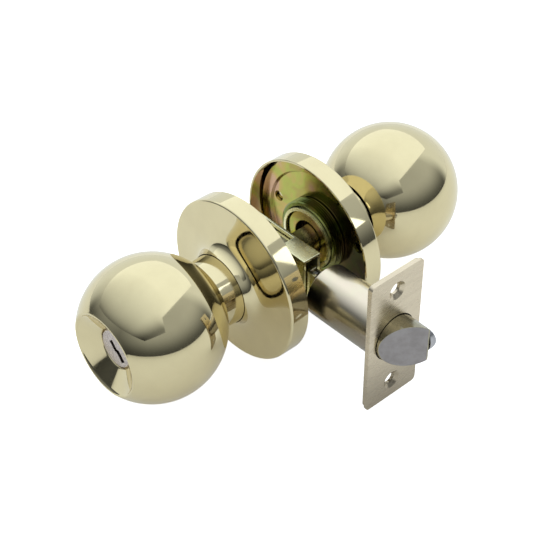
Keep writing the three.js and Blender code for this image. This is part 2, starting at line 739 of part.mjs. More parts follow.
// A plate across X, from its front face back, with a middle hole and two screw holes.
function latchPlate([width, height], front, holeRadius) {
  const shape = roundedRectangle(width, height, FACE_CORNER);
  const options = { depth: FACE_WALL, bevelEnabled: false, curveSegments: 4 };
  const plate = new THREE.ExtrudeGeometry(shape, options);
  plate.rotateX(90 * DEGREE).rotateZ(90 * DEGREE).translate(front - FACE_WALL, 0, 0);
  const span = [front - FACE_WALL - PAST, front + PAST];
  const middleHole = rodX(holeRadius, span, FINE);
  const screwHoles = [-FACE_SCREW_Z, FACE_SCREW_Z].map((z) =>
    rodX(FACE_SCREW_RADIUS, span, SMALL).translate(0, 0, z),
  );
  return cut(plate, middleHole, ...screwHoles);
}

function faceplate() {
  const sinks = [-FACE_SCREW_Z, FACE_SCREW_Z].map((z) => {
    const cone = new THREE.CylinderGeometry(FACE_SINK_RADIUS, FACE_SCREW_RADIUS, FACE_WALL, MEDIUM);
    return cone.rotateZ(-90 * DEGREE).translate(FACE_X - FACE_WALL / 2 + FACE_SINK_PAST, 0, z);
  });
  return cut(latchPlate(FACE_SIZE, FACE_X, FACE_BOLT_HOLE), ...sinks);
}

function latchGuide() {
  const [halfY, halfZ] = TAIL_HALF;
  const slot = box(
    [GUIDE_X[0] - PAST, GUIDE_X[1] + PAST],
    [-halfY - GAP, halfY + GAP],
    [-halfZ - GAP, halfZ + GAP],
  );
  return cut(rodX(GUIDE_RADIUS, GUIDE_X), slot);
}

function latchBolt() {
  const [rear, tip] = BOLT_X;
  const reach = BOLT_RADIUS + PAST;
  const flat = box([rear - PAST, tip + PAST], [BOLT_FLAT_Y, reach], [-reach, reach]);
  const slope = (tip - BEVEL_START_X) / (BEVEL_END_Y + BOLT_RADIUS);
  const wedge = new THREE.Shape([
    new THREE.Vector2(BEVEL_START_X - slope * PAST, -reach),
    new THREE.Vector2(tip + PAST, -reach),
    new THREE.Vector2(tip + PAST, BEVEL_END_Y + PAST / slope),
  ]);
  const bevel = new THREE.ExtrudeGeometry(wedge, { depth: 2 * reach, bevelEnabled: false });
  const well = rodX(BOLT_WELL.radius, [rear - PAST, BOLT_WELL.end]).translate(0, BOLT_WELL.y, 0);
  const bore = rodX(BOLT_BORE.radius, [BOLT_WELL.end - PAST, BOLT_BORE.end], SMALL);
  const barrel = rodX(BOLT_RADIUS, BOLT_X, FINE);
  return cut(barrel, flat, bevel.translate(0, 0, -reach), well, bore);
}

// A segment of a round bar with a half-round nose.
function deadlatchPlunger() {
  const [rear, tip] = PLUNGER_X;
  const shape = new THREE.Shape();
  shape.moveTo(rear, -PLUNGER_HALF);
  shape.absarc(tip - PLUNGER_HALF, 0, PLUNGER_HALF, -Math.PI / 2, Math.PI / 2);
  shape.lineTo(rear, PLUNGER_HALF);
  const depth = PLUNGER_RADIUS + PAST - PLUNGER_FLAT_Y;
  const bar = new THREE.ExtrudeGeometry(shape, { depth, bevelEnabled: false, curveSegments: 8 });
  bar.rotateX(90 * DEGREE).translate(0, PLUNGER_RADIUS + PAST, 0);
  return overlap(bar, rodX(PLUNGER_RADIUS, [rear - PAST, tip + PAST], FINE));
}

function latchTail() {
  const [start, end] = TAIL_X;
  const [halfY, halfZ] = TAIL_HALF;
  const bar = box([start, end], [-halfY, halfY], [-halfZ, halfZ]);
  const head = box([start, TAIL_HEAD_END], [-halfY, halfY], [-TAIL_HEAD_HALF, TAIL_HEAD_HALF]);
  return join(bar, head);
}

function addLatch() {
  const faceBack = FACE_X - FACE_WALL;
  const tubeEnd = faceBack - GAP;
  const tube = ring(TUBE_BORE, TUBE_RADIUS, [TUBE_START, tubeEnd], ROOM_SIDE, FINE);
  add("latch_faceplate", "satin", faceplate());
  add("latch_back_plate", "satin", latchPlate(BACK_SIZE, faceBack - BACK_GAP, BACK_TUBE_HOLE));
  add("latch_tube", "satin", tube.rotateZ(-90 * DEGREE));
  add("latch_guide", "zinc", latchGuide());
  add("latch_bolt", "steel", latchBolt());
  add("latch_tail", "steel", latchTail());
  add("bolt_spring", "spring", coilX(BOLT_SPRING, BOLT_WELL.y));
  add("deadlatch_plunger", "steel", deadlatchPlunger());
  add("plunger_spring", "spring", coilX(PLUNGER_SPRING, PLUNGER_SPRING.y));
}

addKeySide();
addRoomSide();
addMounting(KEY_SIDE, "key");
addMounting(ROOM_SIDE, "room");
addChassis();
addLatch();

export default group;
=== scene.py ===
import bpy
import json
from math import asin, cos, degrees, pi, radians, sin
from mathutils import Matrix, Vector


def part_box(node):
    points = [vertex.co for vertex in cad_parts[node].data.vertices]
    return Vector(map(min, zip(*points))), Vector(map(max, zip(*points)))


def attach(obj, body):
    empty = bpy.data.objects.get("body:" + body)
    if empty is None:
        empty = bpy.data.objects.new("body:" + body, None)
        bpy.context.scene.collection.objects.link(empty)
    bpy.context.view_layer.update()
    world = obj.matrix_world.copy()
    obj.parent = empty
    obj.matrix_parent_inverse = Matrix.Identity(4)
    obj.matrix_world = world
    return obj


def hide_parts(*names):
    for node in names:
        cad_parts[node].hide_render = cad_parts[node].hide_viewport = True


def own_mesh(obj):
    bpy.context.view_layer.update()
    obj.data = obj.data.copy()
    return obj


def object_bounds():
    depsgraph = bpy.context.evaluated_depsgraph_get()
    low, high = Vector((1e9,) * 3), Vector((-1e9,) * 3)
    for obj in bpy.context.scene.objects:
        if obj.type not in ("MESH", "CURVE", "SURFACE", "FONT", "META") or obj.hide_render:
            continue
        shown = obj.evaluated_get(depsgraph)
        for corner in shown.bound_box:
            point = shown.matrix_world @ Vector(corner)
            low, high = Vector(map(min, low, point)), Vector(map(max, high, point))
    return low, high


# A keyed door knob set, put together as it is on a bench: the two knobs on their roses, the chassis
# between them and the latch that hooks on to it. Sizes of the set are given in millimetres and multiplied
# by MM, and those of the studio in metres. X runs to the door edge, Y along the knobs with the key side at
# -Y, and Z is up.

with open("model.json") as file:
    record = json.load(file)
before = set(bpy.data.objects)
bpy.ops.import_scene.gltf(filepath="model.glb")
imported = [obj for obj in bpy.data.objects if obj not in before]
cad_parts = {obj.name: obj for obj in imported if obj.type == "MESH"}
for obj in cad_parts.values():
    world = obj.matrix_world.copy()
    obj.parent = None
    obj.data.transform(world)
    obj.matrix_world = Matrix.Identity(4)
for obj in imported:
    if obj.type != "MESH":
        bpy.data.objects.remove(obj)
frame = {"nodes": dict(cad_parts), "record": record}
cad_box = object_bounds()
nodes = frame["nodes"]
MM = 0.001
KEY, ROOM = -1, 1


# ---- The table, the lights and the camera ----
# The set lies on a white table under one large soft panel. The far side of the studio is a white sweep,
# and the near side is a dim room, which is what gives the bright metal its dark bands.

scene = bpy.context.scene
scene.view_settings.view_transform = "Standard"
scene.view_settings.look = "None"

VIEW_AZIMUTH, VIEW_ELEVATION, VIEW_ROLL = 48.13, 40.10, -0.37
VIEW_DISTANCE = 530.15 * MM
VIEW_CENTRE_RIGHT, VIEW_CENTRE_UP = -2.753 * MM, -5.585 * MM
LENS = 95.65

turn = Matrix.Rotation(radians(VIEW_AZIMUTH), 4, "Z") @ Matrix.Rotation(radians(90 - VIEW_ELEVATION), 4, "X")
turn = turn @ Matrix.Rotation(radians(VIEW_ROLL), 4, "Z")
camera = bpy.data.objects.new("camera", bpy.data.cameras.new("camera"))
scene.collection.objects.link(camera)
camera.data.lens = LENS
camera.data.clip_start = 0.01
camera.matrix_world = turn @ Matrix.Translation((VIEW_CENTRE_RIGHT, VIEW_CENTRE_UP, VIEW_DISTANCE))
scene.camera = camera


def material(name):
    """A new material: its node tree, its shader and a maker of nodes."""
    made = bpy.data.materials.new(name)
    made.use_nodes = True
    tree = made.node_tree
    return made, tree, tree.nodes["Principled BSDF"]


def link(tree, source, target):
    tree.links.new(source, target)


def deselect():
    bpy.ops.object.select_all(action="DESELECT")


table_z = cad_box[0][2] - 0.2 * MM
TABLE_SIZE = 3.0
deselect()
bpy.ops.mesh.primitive_plane_add(size=TABLE_SIZE, location=(0, 0, table_z))
table = bpy.context.object
table.name = "table"
bpy.ops.object.transform_apply(location=True)
table_white, tree, shader = material("table_white")
shader.inputs["Base Color"].default_value = (0.86, 0.86, 0.85, 1)
shader.inputs["Roughness"].default_value = 0.9
shader.inputs["Specular IOR Level"].default_value = 0.0
shader.inputs["Emission Color"].default_value = (1, 1, 1, 1)
seen = tree.nodes.new("ShaderNodeLightPath")
TABLE_GLOW, TABLE_GLOW_SEEN = 0.2, 0.85
glow = tree.nodes.new("ShaderNodeMapRange")
glow.inputs["To Min"].default_value = TABLE_GLOW
glow.inputs["To Max"].default_value = TABLE_GLOW_SEEN
link(tree, seen.outputs["Is Camera Ray"], glow.inputs["Value"])
link(tree, glow.outputs[0], shader.inputs["Emission Strength"])
table.data.materials.append(table_white)

# The soft panel overhead. It is full at the back, fades towards the near side and its front right corner, and
# ends in a straight edge on the right. Its light is a little cool, which the warm metal makes up for.
PANEL_HEIGHT = 0.6
PANEL_CORNERS = [(0.03, 1.1), (0.45, -0.14), (0.95, -0.3), (0.95, -1.15), (-1.6, -1.15), (-1.25, 1.1)]
PANEL_LIGHT, PANEL_NEAR_LIGHT = 1.27, 0.16
PANEL_FULL_Y, PANEL_NEAR_Y = 0.1, -1.12
PANEL_RIGHT_FROM, PANEL_RIGHT_TO, PANEL_RIGHT_LOSS = 0.25, 0.8, 0.75
PANEL_FRONT_FROM, PANEL_FRONT_TO = 0.0, -0.3
COOL = (0.92, 1.0, 1.1)


def draw_outline(name, corners, closed=True):
    """A new piece in edit mode: one point drawn out, corner after corner, along an outline."""
    deselect()
    bpy.ops.mesh.primitive_plane_add(size=MM, location=(0, 0, 0))
    piece = bpy.context.object
    piece.name = name
    bpy.ops.object.mode_set(mode="EDIT")
    bpy.ops.mesh.select_all(action="SELECT")
    bpy.ops.mesh.merge(type="CENTER")
    bpy.ops.transform.translate(value=corners[0])
    path = corners + corners[:1] if closed else corners
    for here, there in zip(path, path[1:]):
        bpy.ops.mesh.extrude_region_move(TRANSFORM_OT_translate={"value": there - here})
    bpy.ops.mesh.select_all(action="SELECT")
    bpy.ops.mesh.remove_doubles(threshold=0.002 * MM)
    return piece


def math_node(tree, operation, *values):
    node = tree.nodes.new("ShaderNodeMath")
    node.operation = operation
    for i, value in enumerate(values):
        if hasattr(value, "links"):
            link(tree, value, node.inputs[i])
        else:
            node.inputs[i].default_value = value
    return node.outputs[0]


def ramp_node(tree, value, start, end, low=0.0, high=1.0, interpolation="SMOOTHSTEP"):
    node = tree.nodes.new("ShaderNodeMapRange")
    node.interpolation_type = interpolation
    for name, number in (("From Min", start), ("From Max", end), ("To Min", low), ("To Max", high)):
        node.inputs[name].default_value = number
    link(tree, value, node.inputs["Value"])
    return node.outputs[0]


panel = draw_outline("soft_panel", [Vector((x, y, PANEL_HEIGHT)) for x, y in PANEL_CORNERS])
bpy.ops.mesh.edge_face_add()
bpy.ops.object.mode_set(mode="OBJECT")
panel_glow, tree, shader = material("panel_glow")
place = tree.nodes.new("ShaderNodeTexCoord")
split = tree.nodes.new("ShaderNodeSeparateXYZ")
link(tree, place.outputs["Object"], split.inputs[0])
depth = split.outputs["Y"]
fade = ramp_node(tree, depth, PANEL_NEAR_Y, PANEL_FULL_Y, PANEL_NEAR_LIGHT, PANEL_LIGHT, "LINEAR")
right = ramp_node(tree, split.outputs["X"], PANEL_RIGHT_FROM, PANEL_RIGHT_TO, 0.0, PANEL_RIGHT_LOSS)
front = ramp_node(tree, depth, PANEL_FRONT_FROM, PANEL_FRONT_TO)
kept = math_node(tree, "SUBTRACT", 1.0, math_node(tree, "MULTIPLY", right, front))
shader.inputs["Base Color"].default_value = (0, 0, 0, 1)
shader.inputs["Emission Color"].default_value = (*COOL, 1)
link(tree, math_node(tree, "MULTIPLY", fade, kept), shader.inputs["Emission Strength"])
panel.data.materials.append(panel_glow)

# A narrow strip light behind on the right. Only the necks and the roses see it, and it gives them a crisp line.
STRIP_BEARING, STRIP_RISE, STRIP_DISTANCE = 127, 33, 0.9
STRIP_SIZE = (0.14, 0.36)
STRIP_LIGHT = 1.9
strip_way = Matrix.Rotation(radians(STRIP_BEARING), 4, "Z")
strip_way = strip_way @ Matrix.Rotation(radians(90 - STRIP_RISE), 4, "X")
strip_way = strip_way @ Matrix.Translation((0, 0, STRIP_DISTANCE))
deselect()
bpy.ops.mesh.primitive_plane_add(size=1, location=(0, 0, 0))
strip = bpy.context.object
strip.name = "strip_light"
strip.data.transform(strip_way @ Matrix.Diagonal((*STRIP_SIZE, 1, 1)))
strip_glow, tree, shader = material("strip_glow")
light = tree.nodes.new("ShaderNodeEmission")
light.inputs["Color"].default_value = (*COOL, 1)
light.inputs["Strength"].default_value = STRIP_LIGHT
both = tree.nodes.new("ShaderNodeAddShader")
link(tree, tree.nodes.new("ShaderNodeBsdfTransparent").outputs[0], both.inputs[0])
link(tree, light.outputs[0], both.inputs[1])
link(tree, both.outputs[0], tree.nodes["Material Output"].inputs["Surface"])
strip.data.materials.append(strip_glow)
strip_lit = bpy.data.collections.new("lit_by_strip")
strip.light_linking.receiver_collection = strip_lit

# The studio around: a white sweep behind the set and a dim room in front of it, darkest in the middle and
# near the floor. A stop is a bearing, from -Y towards +X, and the brightness there.
ROOM_STOPS = [
    (-180, 0.98), (-95, 0.98), (-75, 0.8), (-55, 0.47), (0, 0.24),
    (45, 0.48), (110, 0.54), (150, 0.62), (168, 0.96),
]
ROOM_FLOOR, ROOM_FLOOR_Z, ROOM_FULL_RISE = 0.16, -0.03, 36
SWEEP_FROM, SWEEP_FULL = 0.6, 0.95
BACKDROP_SEEN = 1.15
world = bpy.data.worlds.new("studio")
scene.world = world
world.use_nodes = True
tree = world.node_tree
backdrop = tree.nodes["Background"]
view_ray = tree.nodes.new("ShaderNodeLightPath")
direction = tree.nodes.new("ShaderNodeTexCoord")
split = tree.nodes.new("ShaderNodeSeparateXYZ")
link(tree, direction.outputs["Generated"], split.inputs[0])
less_y = math_node(tree, "MULTIPLY", split.outputs["Y"], -1.0)
bearing = math_node(tree, "ARCTAN2", split.outputs["X"], less_y)
stops = tree.nodes.new("ShaderNodeValToRGB")
link(tree, ramp_node(tree, bearing, -pi, pi, interpolation="LINEAR"), stops.inputs["Fac"])
for bearing_here, tone in ROOM_STOPS:
    stop = stops.color_ramp.elements.new((bearing_here + 180) / 360)
    stop.color = (tone, tone, tone, 1)
stops.color_ramp.elements.remove(stops.color_ramp.elements[0])
stops.color_ramp.elements.remove(stops.color_ramp.elements[-1])
rise = ramp_node(tree, split.outputs["Z"], ROOM_FLOOR_Z, sin(radians(ROOM_FULL_RISE)), ROOM_FLOOR, 1.0)
sweep = ramp_node(tree, stops.outputs["Color"], SWEEP_FROM, SWEEP_FULL)
level = tree.nodes.new("ShaderNodeMix")
level.data_type = "FLOAT"
link(tree, sweep, level.inputs[0])
link(tree, rise, level.inputs[2])
level.inputs[3].default_value = 1.0
tone = math_node(tree, "MULTIPLY", stops.outputs["Color"], level.outputs[0])
shown = tree.nodes.new("ShaderNodeMix")
shown.data_type = "FLOAT"
link(tree, view_ray.outputs["Is Camera Ray"], shown.inputs[0])
link(tree, tone, shown.inputs[2])
shown.inputs[3].default_value = BACKDROP_SEEN
backdrop.inputs["Color"].default_value = (*COOL, 1)
link(tree, shown.outputs[0], backdrop.inputs["Strength"])


# ---- Key-side knob: the ball ----
# A ball spun from one brass sheet, polished and plated pale gold, with a rolled rim round a dished face.
# It is swaged on to the neck, and the key cylinder shows through the hole in the middle of the dish.

BALL_RADIUS = (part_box("key_knob_shell")[1].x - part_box("key_knob_shell")[0].x) / 2
BALL_WALL = 0.9 * MM
BALL_MOUTH = 14 * MM
BALL_TOP = 21.2 * MM  # from the middle of the ball to the rim round the dish
RIM_RADIUS = 16.0 * MM
RIM_ROUND = 0.7 * MM
RIM_REACH = RIM_RADIUS + 0.86 * RIM_ROUND  # where the round of the rim leaves the ball
LIP_IN, LIP_DOWN = 1.3 * RIM_ROUND, 0.85 * RIM_ROUND
DISH_FLOOR = 16.25 * MM
DISH_HOLE = 7.9 * MM
DISH_BACK_RADIUS, DISH_BACK_RISE = 14 * MM, 2.6 * MM
CONE_RINGS = (0, 0.04, 0.96, 1)  # rings down the dish: close to its ends, so that it is shaded as a true cone


def arc_points(centre, radius, start, end, steps):
    """Points of an arc in a profile, as (radius, along): angles from the turning axis, in degrees."""
    angles = [radians(start + (end - start) * i / steps) for i in range(steps + 1)]
    return [(centre[0] + radius * sin(a), centre[1] + radius * cos(a)) for a in angles]


def bezier_points(a, b, c, d, steps):
    made = []
    for i in range(steps + 1):
        t = i / steps
        u = 1 - t
        weights = (u ** 3, 3 * u * u * t, 3 * u * t * t, t ** 3)
        made.append(tuple(sum(w * p[k] for w, p in zip(weights, (a, b, c, d))) for k in (0, 1)))
    return made


def turned(name, outline, axis="Y", sides=144, smooth=35):
    """A solid turned round an axis from the outline of its wall, as points (radius, along)."""
    across, run = Vector((1, 0, 0)), Vector((0, 1, 0))
    if axis == "X":
        across, run = run, across
    corners = [across * r + run * s for r, s in outline]
    on_axis = outline[0][0] == 0 and outline[-1][0] == 0
    piece = draw_outline(name, corners, closed=not on_axis)
    bpy.ops.mesh.spin(steps=sides, angle=2 * pi, center=(0, 0, 0), axis=run)
    bpy.ops.mesh.select_all(action="SELECT")
    bpy.ops.mesh.remove_doubles(threshold=0.002 * MM)
    bpy.ops.mesh.normals_make_consistent(inside=False)
    bpy.ops.object.mode_set(mode="OBJECT")
    smooth_shade(piece, smooth)
    return piece


def smooth_shade(piece, angle):
    deselect()
    piece.select_set(True)
    bpy.context.view_layer.objects.active = piece
    bpy.ops.object.shade_smooth_by_angle(angle=radians(angle))


def ball_outline(side):
    """The wall of a ball: round the outside, over the rim, down the dish and back along the inside."""
    middle = abs(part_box("key_knob_shell")[0].y) - BALL_TOP
    rim_angle = degrees(asin(RIM_REACH / BALL_RADIUS))
    mouth_angle = 180 - degrees(asin(BALL_MOUTH / BALL_RADIUS))
    inner = BALL_RADIUS - BALL_WALL
    inner_mouth = 180 - degrees(asin(BALL_MOUTH / inner))
    floor = middle + DISH_FLOOR
    rim_middle = (RIM_RADIUS, middle + BALL_TOP - RIM_ROUND)
    lip = Vector((RIM_RADIUS - LIP_IN, middle + BALL_TOP - LIP_DOWN))
    foot = Vector((DISH_HOLE + 0.2 * MM, floor + 0.1 * MM))
    outline = arc_points((0, middle), BALL_RADIUS, mouth_angle, rim_angle, 56)
    outline += arc_points(rim_middle, RIM_ROUND, 52, -58, 8)
    outline += [tuple(lip.lerp(foot, part)) for part in CONE_RINGS]
    outline += [(DISH_HOLE, floor - 0.05 * MM)]
    outline += [(DISH_HOLE - 0.1 * MM, floor - 0.3 * MM), (DISH_HOLE - 0.1 * MM, floor - BALL_WALL)]
    outline += [(DISH_BACK_RADIUS, floor + DISH_BACK_RISE)]
    outline += arc_points((0, middle), inner, rim_angle + 2, inner_mouth, 32)
    return [(r, side * s) for r, s in outline]


def wear_group():
    """Faint haze and hairline scratches, as on polish that has been wiped: a mask and a normal."""
    group = bpy.data.node_groups.new("wiped_polish", "ShaderNodeTree")
    group.interface.new_socket("Scale", in_out="INPUT", socket_type="NodeSocketFloat").default_value = 1.0
    group.interface.new_socket("Depth", in_out="INPUT", socket_type="NodeSocketFloat").default_value = 0.02
    group.interface.new_socket("Haze", in_out="OUTPUT", socket_type="NodeSocketFloat")
    group.interface.new_socket("Normal", in_out="OUTPUT", socket_type="NodeSocketVector")
    inside = group.nodes.new("NodeGroupInput")
    out = group.nodes.new("NodeGroupOutput")
    place = group.nodes.new("ShaderNodeTexCoord")
    cloud = group.nodes.new("ShaderNodeTexNoise")
    cloud.inputs["Detail"].default_value = 5
    cloud.inputs["Roughness"].default_value = 0.6
    hairs = group.nodes.new("ShaderNodeTexNoise")
    hairs.inputs["Detail"].default_value = 3
    stretch = group.nodes.new("ShaderNodeMapping")
    stretch.inputs["Scale"].default_value = (1.0, 14.0, 3.0)
    stretch.inputs["Rotation"].default_value = (0.5, 0.3, 0.2)
    link(group, math_node(group, "MULTIPLY", inside.outputs["Scale"], 90.0), cloud.inputs["Scale"])
    link(group, math_node(group, "MULTIPLY", inside.outputs["Scale"], 260.0), hairs.inputs["Scale"])
    link(group, place.outputs["Object"], cloud.inputs["Vector"])
    link(group, place.outputs["Object"], stretch.inputs["Vector"])
    link(group, stretch.outputs[0], hairs.inputs["Vector"])
    link(group, ramp_node(group, cloud.outputs["Fac"], 0.35, 0.7), out.inputs["Haze"])
    bump = group.nodes.new("ShaderNodeBump")
    bump.inputs["Distance"].default_value = 0.05 * MM
    link(group, inside.outputs["Depth"], bump.inputs["Strength"])
    link(group, hairs.outputs["Fac"], bump.inputs["Height"])
    link(group, bump.outputs[0], out.inputs["Normal"])
    return group


wiped_polish = wear_group()


def add_group(tree, group, **values):
    node = tree.nodes.new("ShaderNodeGroup")
    node.node_tree = group
    for name, value in values.items():
        node.inputs[name].default_value = value
    return node


def colour_mix(tree, factor, first, second):
    node = tree.nodes.new("ShaderNodeMix")
    node.data_type = "RGBA"
    link(tree, factor, node.inputs[0])
    for slot, value in ((6, first), (7, second)):
        if hasattr(value, "links"):
            link(tree, value, node.inputs[slot])
        else:
            node.inputs[slot].default_value = (*value, 1)
    return node.outputs[2]


def metal(name, light, dark, smooth, rough, scale=1.0, depth=0.02):
    """A plated metal: two near tones and roughnesses, parted by the haze of the wiped surface."""
    made, tree, shader = material(name)
    wiped = add_group(tree, wiped_polish, Scale=scale, Depth=depth)
    shader.inputs["Metallic"].default_value = 1.0
    link(tree, colour_mix(tree, wiped.outputs["Haze"], light, dark), shader.inputs["Base Color"])
    link(tree, ramp_node(tree, wiped.outputs["Haze"], 0.0, 1.0, smooth, rough), shader.inputs["Roughness"])
    link(tree, wiped.outputs["Normal"], shader.inputs["Normal"])
    return made


polished_gold = metal("polished_gold", (0.72, 0.625, 0.37), (0.69, 0.595, 0.35), 0.05, 0.09)


def finish_piece(piece, look, body, *stands_for, slot=None):
    """Gives a piece its material and its body, and hides the nodes that it stands for. The slot is not used."""
    piece.data.materials.clear()
    piece.data.materials.append(look)
    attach(piece, body)
    if stands_for:
        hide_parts(*stands_for)
    return piece


key_ball = turned("key_ball", ball_outline(KEY))
finish_piece(key_ball, polished_gold, "key_knob", "key_knob_shell", slot="polished_gold")

# ---- Key-side knob: the neck ----
# A drawn brass sleeve, plated like the ball and fixed inside it. It widens a little on its way into the
# collar of the rose, in which it turns.

NECK_RADIUS = 13.7 * MM
NECK_WALL = 0.8 * MM
NECK_START, NECK_END = 23.2 * MM, 38 * MM
NECK_EDGE = 0.15 * MM
NECK_TAPER, NECK_FULL, NECK_SMALL = 0.45 * MM, 26.5 * MM, 33.5 * MM


def neck_outline(side):
    bore = NECK_RADIUS - NECK_WALL
    small = NECK_RADIUS - NECK_TAPER
    outline = [(NECK_RADIUS, NECK_START + NECK_EDGE), (NECK_RADIUS, NECK_FULL)]
    outline += [(small, NECK_SMALL), (small, NECK_END - NECK_EDGE)]
    outline += [(small - NECK_EDGE, NECK_END), (bore - NECK_TAPER, NECK_END)]
    outline += [(bore, NECK_FULL), (bore, NECK_START), (NECK_RADIUS - NECK_EDGE, NECK_START)]
    return [(r, side * s) for r, s in outline]


key_neck = turned("key_neck", neck_outline(KEY))
finish_piece(key_neck, polished_gold, "key_knob", "key_knob_neck", slot="polished_gold")
strip_lit.objects.link(key_neck)

# ---- Key cylinder ----
# A brass cylinder behind the dish holds a nickel-plated plug. The plug's round head stands in the hole of
# the dish, with a stepped keyway milled down it, and the whole lock is turned a little in its neck.

KEYWAY_TURN = -40
PLUG_HEAD, PLUG_BARREL = 7.5 * MM, 6.35 * MM
PLUG_START, PLUG_SHOULDER, PLUG_END = 44.2 * MM, 73.4 * MM, 75.2 * MM
PLUG_CHAMFER = 0.45 * MM
KEYWAY_END = 49 * MM
KEYWAY = [
    (-1.1, 3.4), (0.9, 3.4), (0.9, -0.2), (1.9, -0.9), (1.9, -5.4), (-0.3, -5.4), (-0.3, -1.4), (-1.1, -0.7),
]


def prism(name, corners, run):
    """A bar whose section is an outline of points, drawn out along run."""
    piece = draw_outline(name, corners)
    bpy.ops.mesh.edge_face_add()
    bpy.ops.mesh.extrude_region_move(TRANSFORM_OT_translate={"value": run})
    bpy.ops.mesh.select_all(action="SELECT")
    bpy.ops.mesh.normals_make_consistent(inside=False)
    bpy.ops.object.mode_set(mode="OBJECT")
    return piece


def cut_away(piece, *tools, how="DIFFERENCE"):
    """Cuts the tools out of a piece, or keeps what they share with it, and takes the tools away."""
    for tool in tools:
        deselect()
        piece.select_set(True)
        bpy.context.view_layer.objects.active = piece
        change = piece.modifiers.new("cut", "BOOLEAN")
        change.operation = how
        change.solver = "EXACT"
        change.object = tool
        bpy.ops.object.modifier_apply(modifier="cut")
        bpy.data.objects.remove(tool)


def soften(piece, width, segments=2, angle=30):
    """Rounds the edges that are sharper than an angle, and shades the rest smooth."""
    smooth_shade(piece, angle)
    change = piece.modifiers.new("round", "BEVEL")
    change.width = width
    change.segments = segments
    change.limit_method = "ANGLE"
    change.angle_limit = radians(angle)
    change.harden_normals = True
    bpy.ops.object.modifier_apply(modifier="round")


def streak_group():
    """Fine parallel lines left by a brush or a cutter along X, Y or Z: a mask and a normal."""
    group = bpy.data.node_groups.new("cutter_lines", "ShaderNodeTree")
    group.interface.new_socket("Stretch", in_out="INPUT", socket_type="NodeSocketVector")
    group.interface.new_socket("Depth", in_out="INPUT", socket_type="NodeSocketFloat").default_value = 0.1
    group.interface.new_socket("Lines", in_out="OUTPUT", socket_type="NodeSocketFloat")
    group.interface.new_socket("Normal", in_out="OUTPUT", socket_type="NodeSocketVector")
    inside = group.nodes.new("NodeGroupInput")
    out = group.nodes.new("NodeGroupOutput")
    place = group.nodes.new("ShaderNodeTexCoord")
    stretched = group.nodes.new("ShaderNodeVectorMath")
    stretched.operation = "MULTIPLY"
    grain = group.nodes.new("ShaderNodeTexNoise")
    grain.inputs["Scale"].default_value = 1.0
    grain.inputs["Detail"].default_value = 4
    bump = group.nodes.new("ShaderNodeBump")
    bump.inputs["Distance"].default_value = 0.05 * MM
    link(group, place.outputs["Object"], stretched.inputs[0])
    link(group, inside.outputs["Stretch"], stretched.inputs[1])
    link(group, stretched.outputs[0], grain.inputs["Vector"])
    link(group, ramp_node(group, grain.outputs["Fac"], 0.3, 0.7), out.inputs["Lines"])
    link(group, inside.outputs["Depth"], bump.inputs["Strength"])
    link(group, grain.outputs["Fac"], bump.inputs["Height"])
    link(group, bump.outputs[0], out.inputs["Normal"])
    return group


cutter_lines = streak_group()


def lined_metal(name, light, dark, smooth, rough, stretch, depth=0.15):
    """A metal with the lines of a brush or a cutter, parted into two near tones and roughnesses."""
    made, tree, shader = material(name)
    lines = add_group(tree, cutter_lines, Stretch=stretch, Depth=depth)
    shader.inputs["Metallic"].default_value = 1.0
    link(tree, colour_mix(tree, lines.outputs["Lines"], light, dark), shader.inputs["Base Color"])
    link(tree, ramp_node(tree, lines.outputs["Lines"], 0.0, 1.0, smooth, rough), shader.inputs["Roughness"])
    link(tree, lines.outputs["Normal"], shader.inputs["Normal"])
    return made


plug_nickel = lined_metal("plug_nickel", (0.58, 0.51, 0.46), (0.44, 0.38, 0.34), 0.2, 0.3, (900, 120, 900))
lock_turn = Matrix.Rotation(radians(KEYWAY_TURN), 3, "Y")
plug_outline = [
    (0, -PLUG_START), (PLUG_BARREL, -PLUG_START), (PLUG_BARREL, -PLUG_SHOULDER), (PLUG_HEAD, -PLUG_SHOULDER),
    (PLUG_HEAD, PLUG_CHAMFER - PLUG_END), (PLUG_HEAD - PLUG_CHAMFER, -PLUG_END), (0, -PLUG_END),
]
plug = turned("plug_with_keyway", plug_outline, sides=96, smooth=25)
keyway_corners = [lock_turn @ Vector((x * MM, -KEYWAY_END, z * MM)) for x, z in KEYWAY]
cut_away(plug, prism("keyway_tool", keyway_corners, Vector((0, KEYWAY_END - PLUG_END - MM, 0))))
soften(plug, 0.12 * MM)
finish_piece(plug, plug_nickel, "plug", "key_plug", slot="plug_nickel")

# ---- Roses ----
# Deep cups pressed from brass sheet and plated like the knobs. Each has a rolled corner, a face that
# sweeps up to a collar round the neck, and a turned edge that lies on the door.

ROSE_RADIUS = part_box("key_rose")[1].x
ROSE_BACK = abs(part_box("key_rose")[1].y)
COLLAR_TOP = abs(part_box("key_rose")[0].y)
ROSE_FRONT = 22.2 * MM
ROSE_WALL = 0.9 * MM
ROSE_CORNER = 0.9 * MM
COLLAR_RADIUS, COLLAR_BORE = 13.95 * MM, 13.83 * MM
ROSE_EDGE = 0.2 * MM
ROSE_FACE_PULLS = [(18.2 * MM, 0.1 * MM), (14.6 * MM, 0.9 * MM)]  # they bend the face, from its front plane
ROSE_BACK_PULLS = [(14 * MM, 0), (18.5 * MM, -0.7 * MM)]


